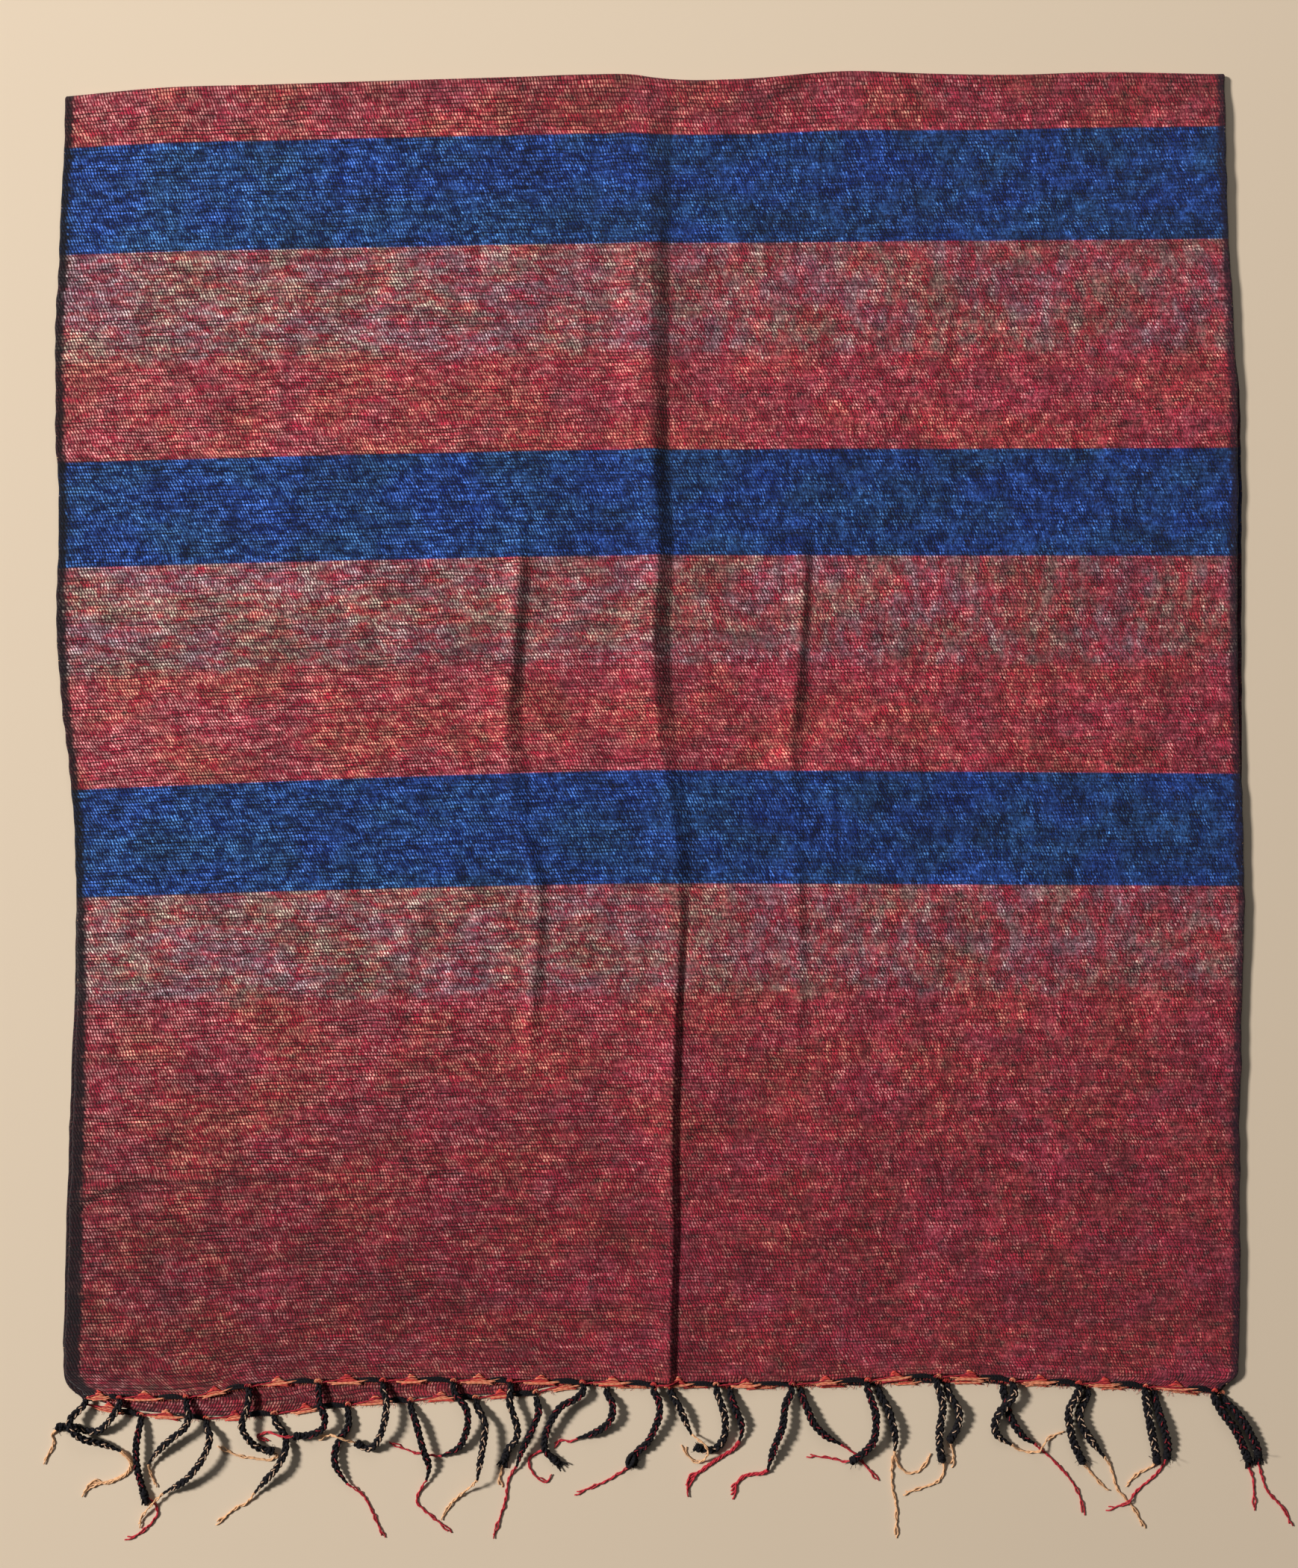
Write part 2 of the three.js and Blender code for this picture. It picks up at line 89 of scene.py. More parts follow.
# The outermost line of the fold, as x and y
FOLD_EDGE = (
    (-0.407, 0.4438), (-0.339, 0.4500), (-0.270, 0.4520), (-0.198, 0.4543), (-0.090, 0.4575),
    (-0.040, 0.4592), (-0.008, 0.4590), (0.006, 0.4570), (0.027, 0.4554), (0.066, 0.4560),
    (0.148, 0.4616), (0.193, 0.4600), (0.264, 0.4590), (0.313, 0.4606), (0.399, 0.4595),
)
EDGE_REACH = 0.035  # how far into the cloth the wiggle of the fold and of the hem is felt
FINE_ROW, UPPER_ROW, LOWER_ROW = 0.002, 0.004, 0.008  # the mesh's rows at fold and hems, and elsewhere
FULL_SHADE_HEIGHT = 0.004  # a crease that is so high gets the full painted shade on its right flank
OPEN_SLOPE = 0.0174  # how steeply the opened upper half rises from the fold, one degree short of flat

SWELL_WAVES = 7

# The creases of the upper layer, left by an earlier folding: y, the x of the crest, how wide the flank is
# on its left and on its right, and its height
CENTRE_CREASE = (
    (0.460, -0.004, 0.030, 0.020, 0.0012),
    (0.420, -0.004, 0.030, 0.018, 0.0030),
    (0.380, -0.003, 0.030, 0.016, 0.0038),
    (0.300, -0.002, 0.030, 0.014, 0.0054),
    (0.200, -0.001, 0.030, 0.013, 0.0066),
    (0.130, 0.004, 0.028, 0.011, 0.0050),
    (0.060, 0.000, 0.028, 0.013, 0.0062),
    (0.000, 0.004, 0.028, 0.013, 0.0046),
    (-0.060, 0.014, 0.030, 0.013, 0.0037),
    (-0.105, 0.018, 0.026, 0.009, 0.0044),
    (-0.200, 0.016, 0.022, 0.0048, 0.0048),
    (-0.300, 0.0136, 0.022, 0.0046, 0.0050),
    (-0.360, 0.0142, 0.022, 0.0050, 0.0044),
    (-0.400, 0.013, 0.024, 0.0046, 0.0050),
    (-0.465, 0.012, 0.024, 0.0048, 0.0044),
)
LEFT_CREASE = (
    (0.150, -0.092, 0.012, 0.008, 0.0000),
    (0.110, -0.093, 0.012, 0.008, 0.0036),
    (0.052, -0.0975, 0.012, 0.009, 0.0046),
    (-0.020, -0.101, 0.014, 0.013, 0.0044),
    (-0.060, -0.092, 0.012, 0.008, 0.0016),
    (-0.109, -0.081, 0.008, 0.008, 0.0036),
    (-0.200, -0.085, 0.008, 0.009, 0.0030),
    (-0.270, -0.088, 0.010, 0.010, 0.0000),
)
RIGHT_CREASE = (
    (0.150, 0.106, 0.012, 0.008, 0.0000),
    (0.117, 0.106, 0.012, 0.006, 0.0034),
    (0.054, 0.1017, 0.012, 0.008, 0.0044),
    (-0.024, 0.0954, 0.014, 0.012, 0.0040),
    (-0.060, 0.098, 0.011, 0.008, 0.0014),
    (-0.130, 0.1017, 0.008, 0.008, 0.0034),
    (-0.200, 0.102, 0.008, 0.009, 0.0024),
    (-0.235, 0.102, 0.010, 0.010, 0.0000),
)
SLANT_CREASE = (  # the shallow fold near the left end of the hem: x, y of its crest, and its height
    (-0.400, -0.330, 0.0030), (-0.389, -0.323, 0.0040), (-0.300, -0.312, 0.0038), (-0.225, -0.304, 0.0),
)
WRINKLES = (  # short ones: the x and y of both ends, half their width, and their height
    (0.346, -0.030, 0.402, 0.012, 0.006, 0.0016),
    (0.366, -0.038, 0.404, -0.010, 0.005, 0.0014),
    (0.330, -0.014, 0.372, 0.010, 0.005, 0.0010),
    (0.196, 0.050, 0.202, 0.118, 0.008, 0.0010),
    (-0.190, -0.250, -0.182, -0.150, 0.010, 0.0009),
)

# The hem and the fringe
PLAIT_STEP = 0.0008
PLAIT_CYCLE = 0.0125  # length in which a strand comes back to its place
PLAIT_SWING = 0.00155  # how far a strand moves to each side
PLAIT_RISE = 0.00070  # how far it moves up and down
STRAND = 0.00108  # radius of one strand of a plait
FLECK = 0.00040  # radius of the coloured yarn that lies on a strand
FLECK_CHANCE = (0.92, 0.30, 0.0)  # how often each of the three strands shows one
TAPER = (0.62, 0.017)  # how much thinner a tapered plait gets, and over what length
BLUNT = (0.10, 0.006)  # the same for one with a knot
KNOT_PLIES = {"sides": 8, "lobes": 2, "depth": 0.15, "turn": 0.005}  # the yarn of a knot
BRUSH_YARNS = 9
BRUSH_LENGTH = 0.0062
# The loops of the large knot: where each starts, its half width and half length, and its height
BOW_LOOPS = (
    (0.0, 0.0022, 0.0052, 0.0014), (0.9, 0.0026, 0.0044, 0.0006),
    (2.2, 0.0018, 0.0048, 0.0022), (4.0, 0.0012, 0.0040, 0.0012),
)
KNOT_HAIRS = 9
HAIR_LENGTH = 0.0042
PLAIT_DROP = 0.0006  # a plait is flatter than its CAD tube, so its middle lies lower
TAIL_STEP = 0.0012
TAIL_YARN = 0.00048  # radius of a loose yarn
RADIUS = {  # of the other yarns, by what they are for
    "knot": 0.00112, "bow": 0.0012, "brush": 0.00055, "hair": 0.00016, "fuzz": 0.00011, "bundle": 0.00072,
    "hem edge": 0.0005, "hem cross": 0.00042, "hem loop": 0.00046, "selvedge": 0.00028,
}
FUZZ_PITCH = 0.0008  # one loose fibre along the hem every so far
FAN_LAYERS = 10
LOOPS_END_Y = 0.436  # the turns of the weft stop short of the fold

# What a piece's material numbers stand for: those of plaits and selvedges, then those of hems
BLACK, PALE, WARM = 0, 1, 2
ORANGE, DEEP_RED = 2, 3
FAN_REDS = (1, 1, 1, 2, 2, 3)  # the reds of a fan's yarns, by how often each one comes

# The fringe from left to right: the points each plait follows from the hem to its tied end, then those
# of its loose yarns, in millimetres. A point without a height lies on the floor.
FLOOR_YARN_MM = 0.8
UPPER_ROUTES = (
    ([(-395.7, -468, 5.4), (-395.8, -471, 6), (-399.5, -475, 7), (-405.1, -481, 8.5), (-404.1, -488, 9.5),
      (-395.7, -495, 8.2), (-383.6, -499.5, 4.8), (-370.5, -505.3, 3)],
     [[(-371, -505, 3), (-364.9, -513, 1.2), (-367.5, -520.8), (-379.9, -527.3), (-391, -528.2),
       (-400.4, -535.7)]]),
    ([(-371.4, -468, 5.6), (-371.4, -471.5, 6.4), (-374.5, -477, 8), (-379.9, -484.2, 7.4),
      (-386.4, -489.9, 5), (-395.7, -490.8, 3.1), (-404.1, -488.4, 2.8), (-415.4, -488, 2.8)],
     [[(-414.6, -488, 2.8), (-420, -494, 1), (-419.2, -501.1), (-426.6, -514.2)]]),
    ([(-324.6, -468, 5.6), (-324.5, -472, 6.8), (-322.6, -479, 8.5), (-325.6, -487, 9), (-335.9, -495.5, 8),
      (-346.1, -505.7, 5.5), (-352.3, -514.6, 3.6)],
     [[(-351.8, -513.9, 3.6), (-351.5, -519, 1.6), (-349, -526), (-347.5, -531)]]),
    ([(-281, -460.6, 5.6), (-281, -464.6, 6.5), (-282, -473, 8), (-285.4, -485.2, 9), (-281, -495.5, 7),
      (-274.5, -502, 4.8), (-264.8, -505.2, 3)],
     [[(-265.6, -505, 3), (-262, -508.4, 1.1), (-268, -511.8), (-279, -510.5), (-290.3, -508.6),
       (-304, -502)]]),
    ([(-232.3, -457.6, 5.6), (-232.3, -462, 6.5), (-231.2, -471, 8), (-227.7, -479, 9),
      (-228.6, -486.5, 8.2), (-234.2, -490.8, 6.8), (-241.7, -493.1, 5.8), (-249.2, -493.6, 5.4)],
     [[(-248.4, -493.5, 5.6), (-253, -493.3, 7.4), (-257.5, -492.8, 7.8), (-262.5, -492, 6.2),
       (-268.9, -491.7, 2.2), (-276, -495.4, 0.9), (-268, -498.5)]]),
    ([(-187.4, -457, 5.6), (-187.2, -461, 6.5), (-184.9, -466.5, 8.2), (-184.7, -475, 10),
      (-187.4, -488, 10), (-193, -499.2, 7), (-199, -502.6, 4.8), (-206.2, -498.6, 4.2)],
     [[(-205.4, -499, 4.3), (-210.8, -496.2, 7.3), (-215.8, -494.2, 8.8), (-220.4, -492.4, 8.3),
       (-226, -493.5, 4), (-233.5, -497, 0.9)]]),
    ([(-138.2, -456.5, 5.6), (-138, -460.5, 6.5), (-135.2, -465.5, 7.6), (-128.9, -473.5, 9),
      (-127.9, -483.6, 9), (-130.7, -494.5, 7), (-135.5, -502.4, 5), (-147.6, -508.6, 3)],
     [[(-146.8, -508.3, 3), (-152, -508.6, 1.2), (-160.3, -507.6), (-168.7, -505.7), (-183.7, -499.2)]]),
    ([(-98, -457.3, 5.6), (-98.2, -461, 6.2), (-98.9, -469.3, 7.5), (-96.1, -477.7, 8.5), (-93.3, -488, 8),
      (-94.8, -496.4, 6.5), (-99.9, -502.5, 4.6), (-102.7, -510.4, 3)],
     [[(-102.5, -509.6, 3), (-104, -516, 1), (-106.5, -525), (-105, -531)]]),
    ([(-47.5, -458.2, 5.6), (-47.8, -462.3, 6.3), (-53, -467, 7.5), (-63.5, -472.5, 8.4),
      (-71.8, -486.1, 7.5), (-74.6, -497.3, 5.5), (-73.6, -505, 4), (-66.2, -512.3, 3)],
     [[(-74.2, -503, 4.2), (-81, -507, 1.2), (-86, -512), (-82.5, -521.7), (-74, -526.8),
       (-69.2, -522.5)]]),
    ([(1.8, -459.2, 5.5), (2, -463, 5.9), (5.2, -468.4, 7), (5.5, -478.6, 8), (-0.1, -493.6, 6),
      (-4.8, -500.6, 4.6), (-10, -505.4, 3.6), (-13.7, -514.2, 3)],
     [[(-13.5, -513.5, 3), (-17.5, -517.5, 1.4), (-25, -522.4, 1), (-33.4, -527.3), (-54, -535.8)]]),
    ([(45.7, -459.2, 5.5), (46, -463, 5.8), (48.5, -470, 6.2), (51.4, -480, 6.5), (51.2, -493.6, 5),
      (45.5, -502.6, 3.6), (38, -504.2, 3), (31, -502.2, 3)], []),
    ([(98, -459.2, 5.5), (97.8, -463, 5.9), (93.5, -472, 7), (91.6, -486, 8), (86, -501, 7),
      (81.3, -518.9, 3)],
     [[(81.5, -518.2, 3), (77.5, -520.8, 1.4), (66.3, -522.6), (59.8, -528.2), (55.1, -538.5)]]),
    ([(151, -456.6, 5.5), (151.2, -460.5, 6), (153.9, -468.3, 7), (156.7, -478.6, 8.5),
      (155.8, -493.6, 8.5), (152, -501.1, 7), (146.4, -506.7, 6), (139.9, -511.4, 4.6)],
     [[(140.6, -510.9, 4.6), (134.5, -512.5, 1.6), (126, -510.5), (109, -508.5)]]),
    ([(199.5, -453.8, 5.5), (199.8, -457.5, 6), (201.6, -463, 6.5), (203.5, -473, 7.5), (201.6, -488, 6.5),
      (201.6, -499.2, 4.5), (203.5, -511.4, 3)],
     [[(203.4, -510.6, 3), (205.3, -519, 0.9), (200.5, -527), (187.6, -531.9), (176.4, -535.5)]]),
    ([(252.5, -456.4, 5.6), (253, -459.5, 6.8), (252.8, -464, 8.3), (248.2, -470, 8.8), (241.9, -478.6, 7),
      (240, -488, 5.5), (243.7, -495, 4.2), (253, -501.1, 3)],
     [[(252.3, -500.7, 3), (258, -504.6, 1.2), (265, -505.7, 2), (272, -503.6, 5), (276, -498.5, 2.5),
       (282, -494.5), (289.5, -492.6)]]),
    ([(298.6, -458.6, 5.5), (298.6, -461.5, 6), (296, -467, 7), (291.6, -474, 8), (291.8, -483.4, 7),
      (295, -497.3, 5), (301.8, -512.3, 3)],
     [[(301.4, -511.5, 3), (306.5, -518.5, 1), (312, -525), (320.3, -533.5)]]),
    ([(345.3, -460.5, 5.5), (345.4, -464, 5.8), (346.2, -471.4, 6), (347.9, -482.6, 6.5),
      (350.5, -494.7, 5.5), (353, -505, 4), (354, -512.4, 3)],
     [[(353.9, -511.6, 3), (350, -516.8, 1), (341, -521.5), (332.5, -530)]]),
    ([(393.5, -464.2, 5.5), (393.7, -467.5, 5.8), (396.1, -471.8, 5.8), (401, -479.8, 6.5),
      (407.3, -487.8, 6), (411.7, -496.3, 5), (417.8, -510.6, 3)],
     [[(417.4, -509.8, 3), (419, -517, 1.1), (422, -526), (422.9, -547.2)]]),
)
LOWER_ROUTES = (
    ([(-357.4, -481.2, 2.8), (-357.5, -485, 4), (-358.3, -490, 5.5), (-359.7, -501.1, 7),
      (-359.2, -516.1, 5.5), (-357.4, -526.4, 3.6), (-354.6, -537, 3)],
     [[(-354.8, -536.2, 3), (-349.5, -541, 1.2), (-346.1, -548), (-350.5, -556), (-361.1, -564.7),
       (-369.5, -567)]]),
    ([(-311.5, -484, 2.8), (-311, -488, 4.4), (-308.2, -493, 7.4), (-309.7, -502, 10),
      (-316.2, -513.3, 10.5), (-326.5, -524.5, 8), (-342.2, -534.6, 3.8)],
     [[(-341.5, -534.2, 3.9), (-346.6, -539, 3.5), (-352.5, -545.5, 3.3), (-356.6, -551, 2),
       (-359.7, -559)]]),
    ([(-264.1, -480.9, 2.8), (-263, -485, 3), (-259, -490, 3.2), (-255.7, -497, 4), (-256.4, -506, 7),
      (-262.3, -516.1, 8.5), (-268.9, -523.5, 7), (-278.2, -534.8, 3.2)],
     [[(-277.7, -534.1, 3.2), (-283.8, -542, 1), (-291.3, -545.5), (-305.6, -557)]]),
    ([(-212.7, -474.8, 2.8), (-212.2, -479, 3.6), (-212, -487, 4.4), (-217.5, -495.5, 4.3),
      (-221.1, -504, 4.6), (-220.5, -515.1, 5), (-212.7, -528.2, 3)],
     [[(-213.1, -527.5, 3), (-203.5, -535, 1), (-197.5, -544), (-187.4, -566.6)]]),
    ([(-168.7, -471.7, 2.8), (-167.9, -475.5, 4), (-164.3, -484, 6.5), (-159.3, -502, 7.5),
      (-155.3, -514.5, 6), (-157.6, -526, 3)],
     [[(-157.5, -525.2, 3), (-162.5, -534, 0.9), (-164, -542), (-152.3, -552.6), (-140.1, -562.9)]]),
    ([(-122.3, -469.7, 2.8), (-121.8, -473.5, 4.4), (-118.6, -478.4, 6.6), (-115.8, -486, 9),
      (-117.6, -501.1, 11.5), (-119.5, -512.3, 11.5), (-121.4, -523.5, 9.4)],
     [[(-121.3, -522.8, 9.4), (-126, -528.5, 6), (-131, -533.5, 2.6), (-140.1, -542, 1),
       (-147.6, -553.5)]]),
    ([(-80.6, -466.8, 2.8), (-80, -470.5, 4), (-78.7, -477, 6.5), (-82.3, -486, 8.5), (-87.3, -496.5, 8.5),
      (-91.2, -506, 6), (-94.6, -516.5, 3)],
     [[(-94.4, -515.7, 3), (-98, -521, 1), (-100.7, -528), (-102.5, -541), (-111.1, -566.6)]]),
    ([(-31.5, -461.3, 2.8), (-30.8, -465, 3.8), (-27, -471.5, 6), (-28.8, -482, 7), (-38.5, -490.8, 5),
      (-52.5, -496.2, 3)],
     [[(-51.7, -496, 3), (-57, -498.6, 1), (-64, -498), (-68.5, -502.5)]]),
    ([(13.5, -461.2, 2.8), (14.3, -465, 3.8), (19.5, -473, 6.4), (24.8, -485, 6), (28.6, -493.8, 4)],
     [[(28.3, -493, 4), (33.5, -496, 6.2), (38.6, -500.5, 7.6), (39.4, -505.5, 7), (37.2, -510, 4),
       (32.6, -513.3, 1), (26.1, -509.5), (22, -501)]]),
    ([(55.2, -461.3, 2.8), (55.6, -465, 3.5), (57.9, -472.6, 5.5), (62.6, -483.4, 6), (63.3, -492, 4.5),
      (61.4, -498.3, 3)],
     [[(61.6, -497.5, 3), (57.5, -504, 1.2), (47.6, -510.2), (36, -518.5), (27.5, -525), (23.3, -536.6)]]),
    ([(104.5, -461.2, 2.8), (105.2, -465, 3.6), (109, -474.5, 5.5), (113.9, -485.2, 6), (122.8, -494.2, 5),
      (133.6, -500.6, 3)],
     [[(132.9, -500.2, 3), (138, -504, 1), (144, -508.6), (149.5, -515), (159.5, -526.4)]]),
    ([(159, -460.2, 2.8), (159.6, -464, 3.6), (165.6, -475, 5.5), (168.9, -486.1, 7), (170.8, -497.3, 5.5),
      (170.3, -505.7, 3)],
     [[(170.3, -504.9, 3), (168.9, -513, 1.3), (168.9, -530), (171.7, -544), (171.7, -566.6)],
      [(170.4, -504.9, 3), (172.6, -514, 1.3), (179.2, -520.6, 0.9), (188.5, -518.8), (196.3, -507.5)]]),
    ([(206.9, -457.8, 2.8), (207.2, -461.5, 3.4), (209.7, -467, 5), (214.7, -475.8, 7), (213.8, -487, 6),
      (208.8, -497.3, 3.6)],
     [[(209, -496.7, 3.6), (210.6, -503, 1.2), (212, -510), (210, -517)]]),
    ([(246.4, -459.5, 2.8), (246.6, -463, 2.8), (248.2, -470, 2.9), (249.9, -477.5, 3.5), (254, -486, 5),
      (260.6, -494.5, 4.5), (269, -500.1, 3)],
     [[(268.3, -499.7, 3), (273, -504, 1.4), (281.2, -511.4), (292.4, -523.6), (299.9, -535.8),
       (303.6, -550.7)]]),
    ([(305.4, -461.2, 2.8), (305.2, -465, 3.2), (302.4, -470.5, 4.2), (299.2, -477.5, 5),
      (300.6, -485.5, 5.5), (306.5, -495.3, 5), (317.6, -509.5, 3)],
     [[(317.1, -508.9, 3), (321.5, -515.5, 1.1), (324.4, -524.5), (326.4, -531.5), (332.6, -539),
       (339.2, -547), (345.7, -560)]]),
    ([(352.2, -463.1, 2.8), (352.3, -466.7, 3.2), (354.9, -477.5, 5), (359.1, -491.2, 6),
      (361.2, -501.5, 4.5), (360.9, -509.3, 3)],
     [[(360.9, -508.5, 3), (358, -516.5, 1.1), (352, -523.5), (343, -531), (338, -536, 1.2),
       (334.4, -540.2, 2.9), (327, -544.2, 1), (318.6, -546.3)]]),
    ([(400.9, -466.8, 2.8), (401.6, -470.3, 3.4), (408.2, -476, 4.5), (414.5, -484.8, 5.5),
      (419.8, -494, 5), (423.6, -502, 4), (425, -508.2, 3)],
     [[(424.9, -507.4, 3), (426, -515, 1.1), (428.5, -524), (432, -533.5), (444, -547), (448.7, -558.4)]]),
)
# How each plait ends, from left to right, then which plaits have cream yarns in place of red ones, and
# which have more loose yarns than the rest
UPPER_ENDS = (
    "taper", "knot", "taper", "knot", "knot", "knot", "taper", "brush", "brush",
    "bow", "knot", "taper", "knot", "knot", "taper", "knot", "knot", "brush",
)
LOWER_ENDS = (
    "brush", "taper", "taper", "taper", "taper", "taper", "taper", "taper", "taper",
    "taper", "taper", "taper", "knot", "taper", "taper", "knot", "brush",
)
UPPER_CREAM = (1, 2, 3, 4, 6, 8, 11, 14, 15, 16, 17)
LOWER_CREAM = (2, 3, 6, 9, 12, 13, 15)
UPPER_THICK_TAILS = (1, 12)
LOWER_THICK_TAILS = (10,)

# The weave, in metres
WARP_PITCH = 0.00218
WEFT_PITCH = 0.00245
RIB_SHIFT = 0.5  # how far a rib moves sideways from one row to the next, in ribs
BLUE_BANDS = ((0.036, 0.113), (0.259, 0.333), (0.488, 0.565))
BLUE_EDGE = 0.0006  # half the width in which a blue band begins or ends
MELANGE_BANDS = ((0.113, 0.190), (0.333, 0.408), (0.565, 0.642))
MELANGE_EDGE = 0.005
MELANGE_DRIFT = 0.022  # by how much that edge wanders
MELANGE_OVERLAP = 0.014  # how far the grey starts inside the blue band, which hides it
SELVEDGE = 0.0032  # width of the black band along each selvedge, and of the fade beside it
SELVEDGE_FADE = 0.0048
TWILL_RELIEF = 0.0005  # how deep the weave is
# The gaps are darker copies of the ribs' colours, painted shade between the yarns; the crest is a painted
# highlight on the ribs of the paler patches
WEAVE_COLOURS = {  # in the red ground, in a grey band and in a blue one
    "deep rib": ("a8283c", "8e4858", "0b2664"), "pale rib": ("bc5054", "a07a78", "2152a8"),
    "deep gap": ("400a14", "2c121b", "02051c"), "pale gap": ("701c28", "4d2832", "091a48"),
    "dark nap": ("480c18", "46262e", "08163e"), "pale nap": ("bf5562", "ad8a8a", "3866b8"),
    "crest": ("f4bcac", "e8ddd6", "649cea"), "worn": ("a07a74", "9a8c8a", "2a4c8c"),
}
WARP_COLOUR = "1c0d14"
SELVEDGE_COLOURS = (("0a070d", 0.94), ("180d1b", 0.84))  # left and right, and how much of it covers
YARN_COLOURS = {  # the deep part of its twist, painted shade in its grooves, and the light part on its crowns
    "black_wool": ("040305", "17141a"), "cream_fleck": ("9c7460", "ecc9a8"),
    "crimson_fleck": ("3a0b12", "a52a35"), "peach_yarn": ("c08e66", "f0bd8e"),
    "crimson_yarn": ("8f1c28", "cf3b46"), "hem_red_1": ("a02a28", "de5648"),
    "hem_red_2": ("b8603f", "f2a07c"), "hem_red_3": ("6a121c", "b82f3c"),
}
FLOOR_COLOUR = "d6c3ab"

# What all the yarns have in common
WOOL_SPECULAR = 0.25
SHEEN_ROUGHNESS = 0.5
RELIEF_STRENGTH = 0.8
FLECK_TWIST, FLECK_RELIEF = 0.0022, 0.00025  # length of one turn of a plait's yarns, depth of its twist
LOOSE_TWIST, LOOSE_RELIEF = 0.004, 0.0001  # the same for loose yarns and those of the hem

# The camera looks straight down
VIEW_CENTRE = (-0.0016, -0.0377)
VIEW_LENGTH = 1.1004  # length of floor that the picture's long side takes in
CAMERA_HEIGHT = 1.25
SENSOR = 36.0

# The light comes from the left, low enough to bring out the creases
FLOOR_REACH = 7.0
KEY_LIGHT = {"place": (-5.4, 1.6, 4.3), "target": (0, 0, 0), "size": 1.15, "power": 690.0,
             "tint": (1.0, 0.985, 0.96)}
WINDOW_LIGHT = {"place": (0.1, 1.4, 1.3), "target": (0, 0.1, 0), "size": 1.2, "power": 6.0,
                "tint": (0.97, 0.98, 1.0)}
ROOM_LIGHT = {"tint": (0.95, 0.97, 1.0, 1.0), "strength": 0.06}


def ease(t):
    t = np.clip(t, 0.0, 1.0)
    return t * t * (3 - 2 * t)


def through(at, places, values):
    """A smooth curve through the values that are given at the places."""
    places, values = np.asarray(places, float), np.asarray(values, float)
    slope = np.gradient(values, places)
    i = np.clip(np.searchsorted(places, at) - 1, 0, len(places) - 2)
    gap = places[i + 1] - places[i]
    t = np.clip((at - places[i]) / gap, 0.0, 1.0)
    rise = values[i + 1] - values[i]
    bend = gap * slope[i] * (t - 2 * t**2 + t**3) + gap * slope[i + 1] * (t**3 - t**2)
    return values[i] + rise * ease(t) + bend


def swell(x, y, scale, seed):
    """Soft random waves between -1 and 1, about that many metres long."""
    rng = np.random.default_rng(seed)
    total = np.zeros(np.broadcast(x, y).shape)
    for _ in range(SWELL_WAVES):
        heading, phase = rng.uniform(0, math.pi), rng.uniform(0, 2 * math.pi)
        length = scale * rng.uniform(0.7, 1.6)
        run = (x * math.cos(heading) + y * math.sin(heading)) / length
        total += np.sin(2 * math.pi * run + phase)
    return total / SWELL_WAVES**0.5 / 1.6


# ---------------------------------------------------------------- meshes

